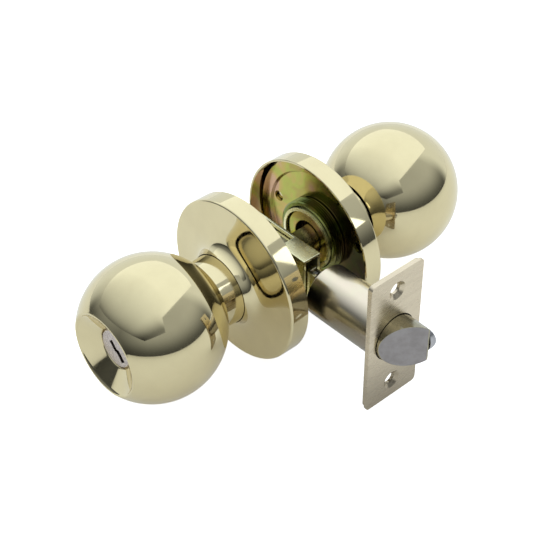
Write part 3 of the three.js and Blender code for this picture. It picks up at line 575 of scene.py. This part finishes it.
def rose_outline(side):
    """The wall of a rose: up the rim, over the face to the collar, and back along the inside."""
    corner = ROSE_RADIUS - ROSE_CORNER
    inner = ROSE_RADIUS - ROSE_WALL
    outline = [(ROSE_RADIUS - ROSE_EDGE, ROSE_BACK), (ROSE_RADIUS, ROSE_BACK + ROSE_EDGE)]
    outline += arc_points((corner, ROSE_FRONT - ROSE_CORNER), ROSE_CORNER, 90, 4, 9)
    face, back = [[(r, ROSE_FRONT + s) for r, s in pulls] for pulls in (ROSE_FACE_PULLS, ROSE_BACK_PULLS)]
    outline += bezier_points((corner, ROSE_FRONT), *face, (COLLAR_RADIUS, COLLAR_TOP), 40)
    back_corner = (corner - 0.4 * MM, ROSE_FRONT - ROSE_WALL)
    outline += bezier_points((COLLAR_BORE, COLLAR_TOP), *back, back_corner, 20)
    outline += [(inner, ROSE_FRONT - ROSE_CORNER - 0.6 * MM), (inner, ROSE_BACK + ROSE_EDGE)]
    outline += [(inner + ROSE_EDGE, ROSE_BACK)]
    return [(r, side * s) for r, s in outline]


for name, side in (("key_rose", KEY), ("room_rose", ROOM)):
    cup = turned(name + "_cup", rose_outline(side), sides=160)
    finish_piece(cup, polished_gold, "root", name, slot="polished_gold")
    strip_lit.objects.link(cup)

# ---- Room-side knob ----
# The same ball and neck as on the key side. The neck has a small slot through which the catch shows, and
# a turn button to lock it stands in the dish.

room_ball = turned("room_ball", ball_outline(ROOM))
finish_piece(room_ball, polished_gold, "room_knob", "room_knob_shell", slot="polished_gold")
room_neck = turned("room_neck", neck_outline(ROOM))


def rod(name, radius, start, end, axis="X", sides=48, centre=(0, 0, 0), end_radius=None):
    """A round bar or cone along an axis, from start to end on it, with its middle line through a point."""
    middle = list(centre)
    middle["XYZ".index(axis)] = (start + end) / 2
    turn = {"X": (0, pi / 2, 0), "Y": (-pi / 2, 0, 0), "Z": (0, 0, 0)}[axis]
    deselect()
    bpy.ops.mesh.primitive_cone_add(
        vertices=sides, radius1=radius, radius2=end_radius or radius, depth=end - start,
        location=middle, rotation=turn,
    )
    made = bpy.context.object
    made.name = name
    bpy.ops.object.transform_apply(location=True, rotation=True, scale=True)
    return made


CATCH_ALONG = 34.2 * MM
SLOT_WIDTH, SLOT_LENGTH, SLOT_REACH = 3.6 * MM, 5 * MM, (10 * MM, 16 * MM)
slot_tool = rod("slot_tool", SLOT_WIDTH / 2, *SLOT_REACH)
for vertex in slot_tool.data.vertices:
    vertex.co.y = vertex.co.y * SLOT_LENGTH / SLOT_WIDTH + CATCH_ALONG
cut_away(room_neck, slot_tool)
smooth_shade(room_neck, 35)
finish_piece(room_neck, polished_gold, "room_knob", "room_knob_neck", slot="polished_gold")
strip_lit.objects.link(room_neck)

# The catch is a steel pin with a flange, pressed outwards by a small spring.
steel_grey = lined_metal("steel_grey", (0.50, 0.49, 0.49), (0.40, 0.39, 0.39), 0.24, 0.36, (120, 700, 120))
CATCH_OUTLINE = [
    (0, 9.6), (2.4, 9.6), (2.5, 9.7), (2.5, 10.1), (2.4, 10.2),
    (1.5, 10.2), (1.5, 13.1), (1.1, 13.5), (0, 13.5),
]


def in_metres(outline, side=ROOM):
    """The points of an outline that is given in millimetres, on the room side or the key side."""
    return [(r * MM, side * s * MM) for r, s in outline]


catch = turned("catch_pin", in_metres(CATCH_OUTLINE), axis="X", sides=40)
catch.data.transform(Matrix.Translation((0, CATCH_ALONG, 0)))
finish_piece(catch, steel_grey, "catch", "knob_catch", slot="steel_grey")


def coil(name, radius, wire, start, end, turns, axis="X", centre=(0, 0, 0), steps=28):
    """A coil spring along an axis: a wire's section screwed round it, with its ends closed."""
    at = {"X": (start, radius, 0), "Y": (radius, start, 0)}[axis]
    deselect()
    bpy.ops.mesh.primitive_circle_add(vertices=10, radius=wire / 2, location=at)
    piece = bpy.context.object
    piece.name = name
    bpy.ops.object.transform_apply(location=True)
    change = piece.modifiers.new("wind", "SCREW")
    change.axis = axis
    change.angle = 2 * pi
    change.screw_offset = (end - start) / turns
    change.iterations = turns
    change.steps = steps
    change.render_steps = steps
    change.use_merge_vertices = True
    bpy.ops.object.modifier_apply(modifier="wind")
    bpy.ops.object.mode_set(mode="EDIT")
    bpy.ops.mesh.select_all(action="SELECT")
    bpy.ops.mesh.remove_doubles(threshold=0.002 * MM)
    bpy.ops.mesh.fill_holes(sides=0)
    bpy.ops.mesh.select_all(action="SELECT")
    bpy.ops.mesh.normals_make_consistent(inside=False)
    bpy.ops.transform.translate(value=centre)
    bpy.ops.object.mode_set(mode="OBJECT")
    smooth_shade(piece, 60)
    return piece


spring_steel = lined_metal("spring_steel", (0.52, 0.5, 0.46), (0.4, 0.38, 0.35), 0.22, 0.36, (400, 400, 400))
CATCH_SEAT, CATCH_SPRING_END = 7.6 * MM, 9.1 * MM
CATCH_SPRING_RADIUS, CATCH_SPRING_WIRE = 1.8 * MM, 0.4 * MM
catch_coil = coil(
    "catch_coil", CATCH_SPRING_RADIUS, CATCH_SPRING_WIRE, CATCH_SEAT, CATCH_SPRING_END, 2,
    centre=(0, CATCH_ALONG, 0),
)
finish_piece(catch_coil, spring_steel, "room_knob", "catch_spring", slot="spring_steel")
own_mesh(catch_coil)

# The turn button: a round foot and a wing, cast in one and plated.
BUTTON_FOOT = [(0, 74.9), (7.4, 74.9), (7.4, 75.8), (7.1, 76.15), (6.6, 76.3), (0, 76.3)]
WING_LENGTH, WING_THICKNESS, WING_START, WING_END = 12.4 * MM, 3.6 * MM, 75.6 * MM, 82.6 * MM
wing_half = (WING_LENGTH - WING_THICKNESS) / 2
wing_corners = []
for end, first in ((1, 0), (-1, 180)):
    angles = [radians(first + 180 * i / 16) for i in range(17)]
    ends = [(cos(a) * WING_THICKNESS / 2, end * wing_half + sin(a) * WING_THICKNESS / 2) for a in angles]
    wing_corners += [Vector((x, WING_START, z)) for x, z in ends]
button = turned("turn_button_foot", in_metres(BUTTON_FOOT), sides=96, smooth=25)
cut_away(button, prism("wing", wing_corners, Vector((0, WING_END - WING_START, 0))), how="UNION")
soften(button, 0.55 * MM, segments=4, angle=40)
button.name = "turn_button_grip"
finish_piece(button, polished_gold, "button", "turn_button", slot="polished_gold")

# ---- Mounting plates, hub nuts and hub bushes ----
# Steel pressings, zinc plated and passivated, which leaves them yellow with green and pink bloom. A plate
# stands in each rose, screwed up by a threaded nut on the drum, with a bush in which the spindle turns.


def bloom_group():
    """The bloom of a passivated plating: its colours run into each other over the surface."""
    group = bpy.data.node_groups.new("plating_bloom", "ShaderNodeTree")
    group.interface.new_socket("Scale", in_out="INPUT", socket_type="NodeSocketFloat").default_value = 60.0
    group.interface.new_socket("Shift", in_out="INPUT", socket_type="NodeSocketFloat").default_value = 0.0
    group.interface.new_socket("Colour", in_out="OUTPUT", socket_type="NodeSocketColor")
    inside = group.nodes.new("NodeGroupInput")
    out = group.nodes.new("NodeGroupOutput")
    place = group.nodes.new("ShaderNodeTexCoord")
    cloud = group.nodes.new("ShaderNodeTexNoise")
    cloud.inputs["Detail"].default_value = 2.5
    cloud.inputs["Distortion"].default_value = 0.4
    colours = group.nodes.new("ShaderNodeValToRGB")
    colours.color_ramp.interpolation = "EASE"
    stops = [
        (0.26, (0.44, 0.24, 0.27)), (0.37, (0.62, 0.36, 0.24)), (0.46, (0.55, 0.40, 0.12)),
        (0.54, (0.44, 0.45, 0.09)), (0.62, (0.42, 0.32, 0.09)), (0.74, (0.50, 0.28, 0.22)),
    ]
    for place_in_ramp, colour in stops:
        stop = colours.color_ramp.elements.new(place_in_ramp)
        stop.color = (*colour, 1)
    colours.color_ramp.elements.remove(colours.color_ramp.elements[0])
    colours.color_ramp.elements.remove(colours.color_ramp.elements[-1])
    link(group, place.outputs["Object"], cloud.inputs["Vector"])
    link(group, inside.outputs["Scale"], cloud.inputs["Scale"])
    link(group, math_node(group, "ADD", cloud.outputs["Fac"], inside.outputs["Shift"]), colours.inputs["Fac"])
    link(group, colours.outputs["Color"], out.inputs["Colour"])
    return group


plating_bloom = bloom_group()


def bloomed_metal(name, ground, share, smooth, rough, scale=60.0, shift=0.0):
    """A plated metal of one ground tone with a share of bloom over it."""
    made, tree, shader = material(name)
    bloom = add_group(tree, plating_bloom, Scale=scale, Shift=shift)
    wiped = add_group(tree, wiped_polish, Scale=1.5, Depth=0.02)
    blend = tree.nodes.new("ShaderNodeMix")
    blend.data_type = "RGBA"
    blend.inputs[0].default_value = share
    blend.inputs[6].default_value = (*ground, 1)
    link(tree, bloom.outputs["Colour"], blend.inputs[7])
    shader.inputs["Metallic"].default_value = 1.0
    link(tree, blend.outputs[2], shader.inputs["Base Color"])
    link(tree, ramp_node(tree, wiped.outputs["Haze"], 0.0, 1.0, smooth, rough), shader.inputs["Roughness"])
    link(tree, wiped.outputs["Normal"], shader.inputs["Normal"])
    return made


def paint_in_shade(look, way, start, end, least):
    """Paints shade into a metal's colour: it darkens along a direction, standing in for shade and dark
    reflections that fall there.
    """
    tree = look.node_tree
    shader = tree.nodes["Principled BSDF"]
    place = tree.nodes.new("ShaderNodeTexCoord")
    along = tree.nodes.new("ShaderNodeVectorMath")
    along.operation = "DOT_PRODUCT"
    along.inputs[1].default_value = way
    link(tree, place.outputs["Object"], along.inputs[0])
    shaded = tree.nodes.new("ShaderNodeVectorMath")
    shaded.operation = "SCALE"
    link(tree, shader.inputs["Base Color"].links[0].from_socket, shaded.inputs[0])
    link(tree, ramp_node(tree, along.outputs["Value"], start, end, 1.0, least), shaded.inputs["Scale"])
    link(tree, shaded.outputs[0], shader.inputs["Base Color"])
    return look


zinc_iridescent = bloomed_metal("zinc_iridescent", (0.50, 0.42, 0.16), 0.9, 0.14, 0.22, scale=75.0)
zinc_green = bloomed_metal("zinc_green", (0.13, 0.20, 0.08), 0.3, 0.14, 0.22)
plate_bloom = bloomed_metal("plate_bloom", (0.50, 0.48, 0.16), 0.85, 0.14, 0.22, scale=75.0, shift=0.02)
# Painted shade: the plates darken towards +X, for the shade and the dark reflections deep inside the roses.
paint_in_shade(plate_bloom, (1, 0, 0.1), -10 * MM, 20 * MM, 0.1)
PLATE_OUTLINE = [
    (12.9, 20.4), (24.6, 20.4), (25.4, 19.4), (29.8, 19.4),
    (29.8, 20.4), (26.2, 20.4), (25.4, 21.4), (12.9, 21.4),
]
PLATE_SCREW_X, PLATE_SCREW_Z = 21.5 * MM, 5 * MM
PLATE_SCREW_HOLE, POST_RADIUS, POST_BORE = 2.2 * MM, 3.2 * MM, 1.6 * MM
POST_START, POST_END = 12.9 * MM, 20.9 * MM


def on_side(name, radius, start, end, side, centre):
    """A round bar along Y between two distances from the latch, on either side of it."""
    low, high = sorted((side * start, side * end))
    return rod(name, radius, low, high, axis="Y", centre=centre)


for name, side in (("key", KEY), ("room", ROOM)):
    plate = turned(name + "_plate", in_metres(PLATE_OUTLINE, side), sides=128, smooth=25)
    for x in (-PLATE_SCREW_X, PLATE_SCREW_X):
        centre = (x, 0, PLATE_SCREW_Z)
        hole = PLATE_SCREW_HOLE
        if side == KEY:
            cut_away(plate, on_side("post", POST_RADIUS, POST_START, POST_END, side, centre), how="UNION")
            hole = POST_BORE
        cut_away(plate, on_side("drill", hole, POST_START - MM, POST_END + MM, side, centre))
    soften(plate, 0.22 * MM)
    finish_piece(plate, plate_bloom, "root", name + "_mounting_plate", slot="zinc_iridescent")

NUT_BORE, NUT_ROOT, NUT_CREST = 12.9 * MM, 14.1 * MM, 14.7 * MM
NUT_START, NUT_SHOULDER, NUT_END = 15.6 * MM, 19.2 * MM, 20 * MM
NUT_PITCH, NUT_TURNS = 0.9 * MM, 4
THREAD_STEPS = (0.15, 0.45, 0.7)  # where the root ends, the crest starts and the crest ends in a pitch
nut_outline = [(NUT_BORE, NUT_START)]
for i in range(NUT_TURNS):
    start = NUT_START + i * NUT_PITCH
    root_end, crest_start, crest_end = [start + NUT_PITCH * step for step in THREAD_STEPS]
    nut_outline += [(NUT_ROOT, start), (NUT_ROOT, root_end), (NUT_CREST, crest_start), (NUT_CREST, crest_end)]
nut_outline += [(NUT_ROOT, NUT_SHOULDER), (NUT_CREST, NUT_SHOULDER + 0.2 * MM)]
nut_outline += [(NUT_CREST, NUT_END), (NUT_BORE, NUT_END)]
BUSH_OUTLINE = [
    (6.85, 15.7), (7.05, 15.5), (10.5, 15.5), (10.9, 15.9),
    (10.9, 18.6), (10.5, 19), (7.05, 19), (6.85, 18.8),
]
RETURN_RADIUS, RETURN_WIRE, RETURN_SPAN = 9.3 * MM, 1.1 * MM, (20.4 * MM, 22.9 * MM)
for name, side in (("key", KEY), ("room", ROOM)):
    nut = turned(name + "_nut", [(r, side * s) for r, s in nut_outline], sides=96, smooth=20)
    finish_piece(nut, zinc_green, "root", name + "_hub_nut", slot="zinc_iridescent")
    bush = turned(name + "_bush", in_metres(BUSH_OUTLINE, side), sides=72, smooth=25)
    finish_piece(bush, zinc_iridescent, "root", name + "_hub_bush", slot="zinc_iridescent")
    low, high = sorted(side * end for end in RETURN_SPAN)
    spring = coil(name + "_return_coil", RETURN_RADIUS, RETURN_WIRE, low, high, 2, axis="Y", steps=48)
    finish_piece(spring, spring_steel, "root", name + "_return_spring", slot="spring_steel")

# ---- Chassis drum ----
# A short tube across the door, zinc plated, that both hub nuts screw on to. Its top is open between the
# roses, so that the retractor housing drops in.

zinc_pale = bloomed_metal("zinc_pale", (0.97, 0.93, 0.60), 0.06, 0.24, 0.34)
DRUM_RADIUS, DRUM_BORE, DRUM_HALF, DRUM_EDGE = 12.5 * MM, 11.2 * MM, 21 * MM, 0.2 * MM
WINDOW_HALF, WINDOW_FLOOR, SEAT_HALF, SEAT_FLOOR = 14.5 * MM, -5 * MM, 4.3 * MM, -9.3 * MM
DRUM_REACH = 14 * MM


def block(name, x, y, z):
    """A box between two limits along each axis."""
    middle = [(low + high) / 2 for low, high in (x, y, z)]
    size = [high - low for low, high in (x, y, z)]
    deselect()
    bpy.ops.mesh.primitive_cube_add(size=1, location=middle, scale=size)
    made = bpy.context.object
    made.name = name
    bpy.ops.object.transform_apply(location=True, rotation=True, scale=True)
    return made


drum_outline = []
for end in (-1, 1):
    ring = [(DRUM_RADIUS, end * (DRUM_HALF - DRUM_EDGE)), (DRUM_RADIUS - DRUM_EDGE, end * DRUM_HALF)]
    ring += [(DRUM_BORE + DRUM_EDGE, end * DRUM_HALF), (DRUM_BORE, end * (DRUM_HALF - DRUM_EDGE))]
    drum_outline += ring if end > 0 else ring[::-1]
drum = turned("drum", drum_outline, sides=112, smooth=25)
across = (-DRUM_REACH, DRUM_REACH)
window = block("window", across, (-WINDOW_HALF, WINDOW_HALF), (WINDOW_FLOOR, DRUM_REACH))
seat = block("seat", across, (-SEAT_HALF, SEAT_HALF), (SEAT_FLOOR, DRUM_REACH))
cut_away(drum, window, seat)
soften(drum, 0.18 * MM)
finish_piece(drum, zinc_pale, "root", "chassis_drum", slot="zinc_iridescent")

# ---- Retractor ----
# A folded steel housing, bridged at the front, and in it a slide that hooks over the latch tail. Each
# knob's half-round spindle turns in the eye of the housing and pushes the slide back against two springs.


def pressed_copy(name, node, round_edge):
    """A flat-sided pressing: its plain solid, merged, with its corners rounded as a press leaves them."""
    piece = bpy.data.objects.new(name, nodes[node].data.copy())
    scene.collection.objects.link(piece)
    deselect()
    piece.select_set(True)
    bpy.context.view_layer.objects.active = piece
    bpy.ops.object.mode_set(mode="EDIT")
    bpy.ops.mesh.select_all(action="SELECT")
    bpy.ops.mesh.remove_doubles(threshold=0.002 * MM)
    bpy.ops.mesh.dissolve_limited(angle_limit=radians(1))
    bpy.ops.object.mode_set(mode="OBJECT")
    soften(piece, round_edge)
    return piece


nose_yellow = bloomed_metal("nose_yellow", (0.92, 0.84, 0.56), 0.1, 0.16, 0.24)
housing = pressed_copy("housing_channel", "retractor_housing", 0.25 * MM)
finish_piece(housing, zinc_pale, "root", "retractor_housing", slot="zinc_pale")
slide = pressed_copy("slide_frame", "retractor_slide", 0.25 * MM)
finish_piece(slide, nose_yellow, "retractor", "retractor_slide", slot="steel_grey")
tail = pressed_copy("tail_strip", "latch_tail", 0.2 * MM)
finish_piece(tail, steel_grey, "retractor", "latch_tail", slot="steel_grey")

SLIDE_SPRING_RADIUS, SLIDE_SPRING_WIRE, SLIDE_SPRING_X = 2 * MM, 0.5 * MM, (-23.1 * MM, -8.3 * MM)
SLIDE_SPRING_Z = 4.2 * MM
for name, z in (("lower", -SLIDE_SPRING_Z), ("upper", SLIDE_SPRING_Z)):
    spring = coil(
        name + "_slide_coil", SLIDE_SPRING_RADIUS, SLIDE_SPRING_WIRE, *SLIDE_SPRING_X, 5, centre=(0, 0, z)
    )
    finish_piece(spring, spring_steel, "root", "retractor_spring_" + name, slot="spring_steel")
    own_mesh(spring)

spindle_zinc = bloomed_metal("spindle_zinc", (0.34, 0.30, 0.20), 0.3, 0.2, 0.3)
SPINDLE_OUTLINE = [
    (5.2, 0.6), (5.4, 0.4), (6.3, 0.4), (6.5, 0.6), (6.5, 42.8), (6.3, 43), (5.4, 43), (5.2, 42.8),
]
OPEN_HALF_X, OPEN_HALF_Y, OPEN_HALF_Z = (-8 * MM, 0), (-44 * MM, 44 * MM), (-8 * MM, 8 * MM)
for name, side in (("key", KEY), ("room", ROOM)):
    half_tube = turned(name + "_half_tube", in_metres(SPINDLE_OUTLINE, side), sides=72, smooth=25)
    cut_away(half_tube, block("open_half", OPEN_HALF_X, OPEN_HALF_Y, OPEN_HALF_Z))
    soften(half_tube, 0.15 * MM)
    finish_piece(half_tube, spindle_zinc, name + "_knob", name + "_spindle", slot="zinc_iridescent")

# ---- Latch tube ----
# A drawn steel tube, satin plated to go with the knobs, that lies in the hole through the edge of the
# door. It passes through the back plate and is spun over behind the faceplate.

satin_gold = lined_metal(
    "satin_gold", (0.69, 0.59, 0.42), (0.65, 0.555, 0.395), 0.24, 0.3, (90, 90, 700), depth=0.02
)
tube_satin = bloomed_metal("tube_satin", (0.78, 0.69, 0.54), 0.1, 0.2, 0.27, scale=70.0)
# Painted shade: the tube darkens towards the key side and its underside, and everything in satin gold darkens
# towards the bottom, for the shade under and between the parts.
paint_in_shade(tube_satin, (0, -0.78, -0.62), -4 * MM, 5 * MM, 0.45)
paint_in_shade(satin_gold, (0, 0, -1), -5 * MM, 27 * MM, 0.62)
TUBE_RADIUS, TUBE_BORE, TUBE_START, TUBE_END = 10.25 * MM, 9.45 * MM, 26 * MM, 58.6 * MM
TUBE_ROUND, TUBE_EDGE = 0.7 * MM, 0.2 * MM
tube_outline = arc_points((TUBE_RADIUS - TUBE_ROUND, TUBE_START + TUBE_ROUND), TUBE_ROUND, 180, 90, 6)
tube_outline += [(TUBE_RADIUS, TUBE_END - TUBE_EDGE), (TUBE_RADIUS - TUBE_EDGE, TUBE_END)]
tube_outline += [(TUBE_BORE, TUBE_END), (TUBE_BORE, TUBE_START + TUBE_EDGE)]
tube = turned("tube", tube_outline, axis="X", sides=112, smooth=25)
finish_piece(tube, tube_satin, "root", "latch_tube", slot="satin_gold")

# ---- Faceplate and back plate ----
# Two steel plates with round corners, satin plated like the tube. Both are screwed into the edge of the
# door through the same two holes, and those in the faceplate are countersunk.

FACE_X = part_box("latch_faceplate")[1].x
FACE_WALL = 1.1 * MM
FACE_SIZE, BACK_SIZE = (25 * MM, 57 * MM), (24 * MM, 56 * MM)
FACE_CORNER = 1.8 * MM
FACE_BOLT_HOLE, BACK_TUBE_HOLE = 9.35 * MM, 10.5 * MM
FACE_SCREW_Z, FACE_SCREW_HOLE, FACE_SINK = 20.9 * MM, 2.2 * MM, 3.75 * MM
BACK_GAP, SINK_PROUD = 0.15 * MM, 0.02 * MM


def edge_plate(name, size, front, middle_hole):
    """A plate across X with round corners, a middle hole and two screw holes."""
    corners = []
    for quarter, (right, up) in enumerate(((1, 1), (-1, 1), (-1, -1), (1, -1))):
        half_width, half_height = size[0] / 2 - FACE_CORNER, size[1] / 2 - FACE_CORNER
        centre = Vector((front - FACE_WALL, right * half_width, up * half_height))
        for i in range(7):
            a = radians(90 * quarter + 15 * i)
            corners.append(centre + Vector((0, FACE_CORNER * cos(a), FACE_CORNER * sin(a))))
    plate = prism(name, corners, Vector((FACE_WALL, 0, 0)))
    reach = (front - 2 * FACE_WALL, front + FACE_WALL)
    cut_away(plate, rod("middle_hole", middle_hole, *reach, sides=96))
    for z in (-FACE_SCREW_Z, FACE_SCREW_Z):
        cut_away(plate, rod("screw_hole", FACE_SCREW_HOLE, *reach, sides=40, centre=(0, 0, z)))
    return plate


face = edge_plate("faceplate", FACE_SIZE, FACE_X, FACE_BOLT_HOLE)
for z in (-FACE_SCREW_Z, FACE_SCREW_Z):
    sink = rod(
        "sink", FACE_SCREW_HOLE, FACE_X - FACE_WALL, FACE_X, sides=64, centre=(0, 0, z), end_radius=FACE_SINK
    )
    sink.data.transform(Matrix.Translation((SINK_PROUD, 0, 0)))
    cut_away(face, sink)
soften(face, 0.16 * MM)
finish_piece(face, satin_gold, "root", "latch_faceplate", slot="satin_gold")
back = edge_plate("back_plate", BACK_SIZE, FACE_X - FACE_WALL - BACK_GAP, BACK_TUBE_HOLE)
soften(back, 0.12 * MM)
finish_piece(back, satin_gold, "root", "latch_back_plate", slot="satin_gold")

# ---- Latch bolt ----
# A sintered steel bar, flat on the room side for the plunger, with a ground bevel that the strike rides
# up on. It is hollow behind, where its spring sits.

bolt_round = lined_metal(
    "bolt_round", (0.42, 0.38, 0.26), (0.34, 0.31, 0.21), 0.14, 0.22, (100, 700, 700), depth=0.06
)
bolt_ground = metal("bolt_ground", (0.35, 0.325, 0.31), (0.31, 0.285, 0.27), 0.4, 0.48, scale=3.0, depth=0.1)
BOLT_RADIUS, BOLT_REAR, BOLT_TIP = 9 * MM, 50.5 * MM, 70.8 * MM
BOLT_FLAT_Y, BEVEL_START, BEVEL_END_Y = 5.9 * MM, 61 * MM, 5.3 * MM
WELL_RADIUS, WELL_Y, WELL_END = 5.6 * MM, -0.8 * MM, 59.5 * MM
BORE_RADIUS, BORE_END = 2.75 * MM, 62.6 * MM
BOLT_REACH = 10.5 * MM
bolt = rod("bolt_bar", BOLT_RADIUS, BOLT_REAR, BOLT_TIP, sides=96)
flat = block("flat", (BOLT_REAR - MM, BOLT_TIP + MM), (BOLT_FLAT_Y, BOLT_REACH), (-BOLT_REACH, BOLT_REACH))
slope = (BOLT_TIP - BEVEL_START) / (BEVEL_END_Y + BOLT_RADIUS)
past = BOLT_REACH - BOLT_RADIUS
wedge_corners = [
    Vector((BEVEL_START - slope * past, -BOLT_REACH, -BOLT_REACH)),
    Vector((BOLT_TIP + past, -BOLT_REACH, -BOLT_REACH)),
    Vector((BOLT_TIP + past, BEVEL_END_Y + past / slope, -BOLT_REACH)),
]
wedge = prism("wedge", wedge_corners, Vector((0, 0, 2 * BOLT_REACH)))
well = rod("well", WELL_RADIUS, BOLT_REAR - MM, WELL_END, sides=64, centre=(0, WELL_Y, 0))
bore = rod("bore", BORE_RADIUS, WELL_END - MM, BORE_END, sides=40)
cut_away(bolt, flat, wedge, well, bore)
soften(bolt, 0.35 * MM, segments=3)
finish_piece(bolt, bolt_round, "bolt", "latch_bolt", slot="steel_grey")
bolt.data.materials.append(bolt_ground)
bevel_way = Vector((1, -slope, 0)).normalized()
BEVEL_NEAR = 0.985  # how near to the bevel's own direction a face has to look
for face_of_bolt in bolt.data.polygons:
    if face_of_bolt.normal.dot(bevel_way) > BEVEL_NEAR:
        face_of_bolt.material_index = 1

# The bolt's spring, in two halves: the rear one is squashed by the retractor and the front one by the strike.
BOLT_SPRING_RADIUS, BOLT_SPRING_WIRE = 4.55 * MM, 0.9 * MM
SPRING_SEAT, SPRING_MIDDLE = 29 * MM, 44 * MM
spring_centre = (0, WELL_Y, 0)
for name, start, end, body, joint, keep in (
    ("rear", SPRING_SEAT, SPRING_MIDDLE, "root", "retract", 0.273),
    ("front", SPRING_MIDDLE, WELL_END - 0.5 * MM, "retractor", "bolt_push", 0.3),
):
    spring = coil(
        name + "_bolt_coil", BOLT_SPRING_RADIUS, BOLT_SPRING_WIRE, start, end, 3, centre=spring_centre, steps=36
    )
    finish_piece(spring, spring_steel, body, "bolt_spring", slot="spring_steel")
    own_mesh(spring)

# ---- Deadlatch plunger ----
# A half-round bar beside the bolt with a round nose, pressed out by its own light spring. It is held in
# by the strike when the door is shut, and then blocks the bolt.

PLUNGER_REAR, PLUNGER_TIP, PLUNGER_HALF = 52 * MM, 71.4 * MM, 6.2 * MM
PLUNGER_FLAT_Y, PLUNGER_RADIUS = 6.25 * MM, 8.95 * MM
nose_angles = [radians(-90 + 180 * i / 24) for i in range(25)]
nose_middle = Vector((PLUNGER_TIP - PLUNGER_HALF, PLUNGER_FLAT_Y, 0))
plunger_corners = [Vector((PLUNGER_REAR, PLUNGER_FLAT_Y, z)) for z in (PLUNGER_HALF, -PLUNGER_HALF)]
plunger_corners += [nose_middle + PLUNGER_HALF * Vector((cos(a), 0, sin(a))) for a in nose_angles]
plunger = prism("plunger_bar", plunger_corners, Vector((0, PLUNGER_RADIUS - PLUNGER_FLAT_Y + MM, 0)))
plunger_round = rod("round", PLUNGER_RADIUS, PLUNGER_REAR - MM, PLUNGER_TIP + MM, sides=96)
cut_away(plunger, plunger_round, how="INTERSECT")
soften(plunger, 0.3 * MM, segments=3)
finish_piece(plunger, steel_grey, "plunger", "deadlatch_plunger", slot="steel_grey")

PLUNGER_SPRING_Y, PLUNGER_SPRING_RADIUS, PLUNGER_SPRING_WIRE = 7.5 * MM, 0.75 * MM, 0.4 * MM
PLUNGER_SPRING_MIDDLE, PLUNGER_SPRING_END, PLUNGER_SPRING_TURNS = 42 * MM, 51.6 * MM, 9
for name, start, end, body, joint, keep in (
    ("rear", SPRING_SEAT, PLUNGER_SPRING_MIDDLE, "root", "retract", 0.16),
    ("front", PLUNGER_SPRING_MIDDLE, PLUNGER_SPRING_END, "retractor", "plunger_push", 0.0625),
):
    centre = (0, PLUNGER_SPRING_Y, 0)
    spring = coil(
        name + "_plunger_coil", PLUNGER_SPRING_RADIUS, PLUNGER_SPRING_WIRE, start, end, PLUNGER_SPRING_TURNS,
        centre=centre, steps=16,
    )
    finish_piece(spring, spring_steel, body, "plunger_spring", slot="spring_steel")
    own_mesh(spring)

# ---- Inner pieces ----
# The knob cores, the cylinder with its pins, the stem and bars, and the guide in the tube keep the plain
# shape that they have. Each gets the metal that it is made of.

cylinder_brass = lined_metal(
    "cylinder_brass", (0.70, 0.53, 0.24), (0.58, 0.42, 0.18), 0.24, 0.34, (700, 100, 700)
)
die_cast = metal("die_cast", (0.50, 0.50, 0.50), (0.40, 0.40, 0.41), 0.42, 0.56, scale=4.0, depth=0.3)
inner_metals = {
    "polished_gold": polished_gold, "satin_gold": satin_gold, "zinc_iridescent": zinc_iridescent,
    "zinc_pale": zinc_pale, "steel_grey": steel_grey, "spring_steel": spring_steel,
    "plug_nickel": plug_nickel, "cylinder_brass": cylinder_brass, "die_cast": die_cast,
}
for row in frame["record"]["subparts"]:
    node = nodes[row["node"]]
    if not node.hide_render:
        node.data.materials.clear()
        node.data.materials.append(inner_metals[row["material_slot"]])
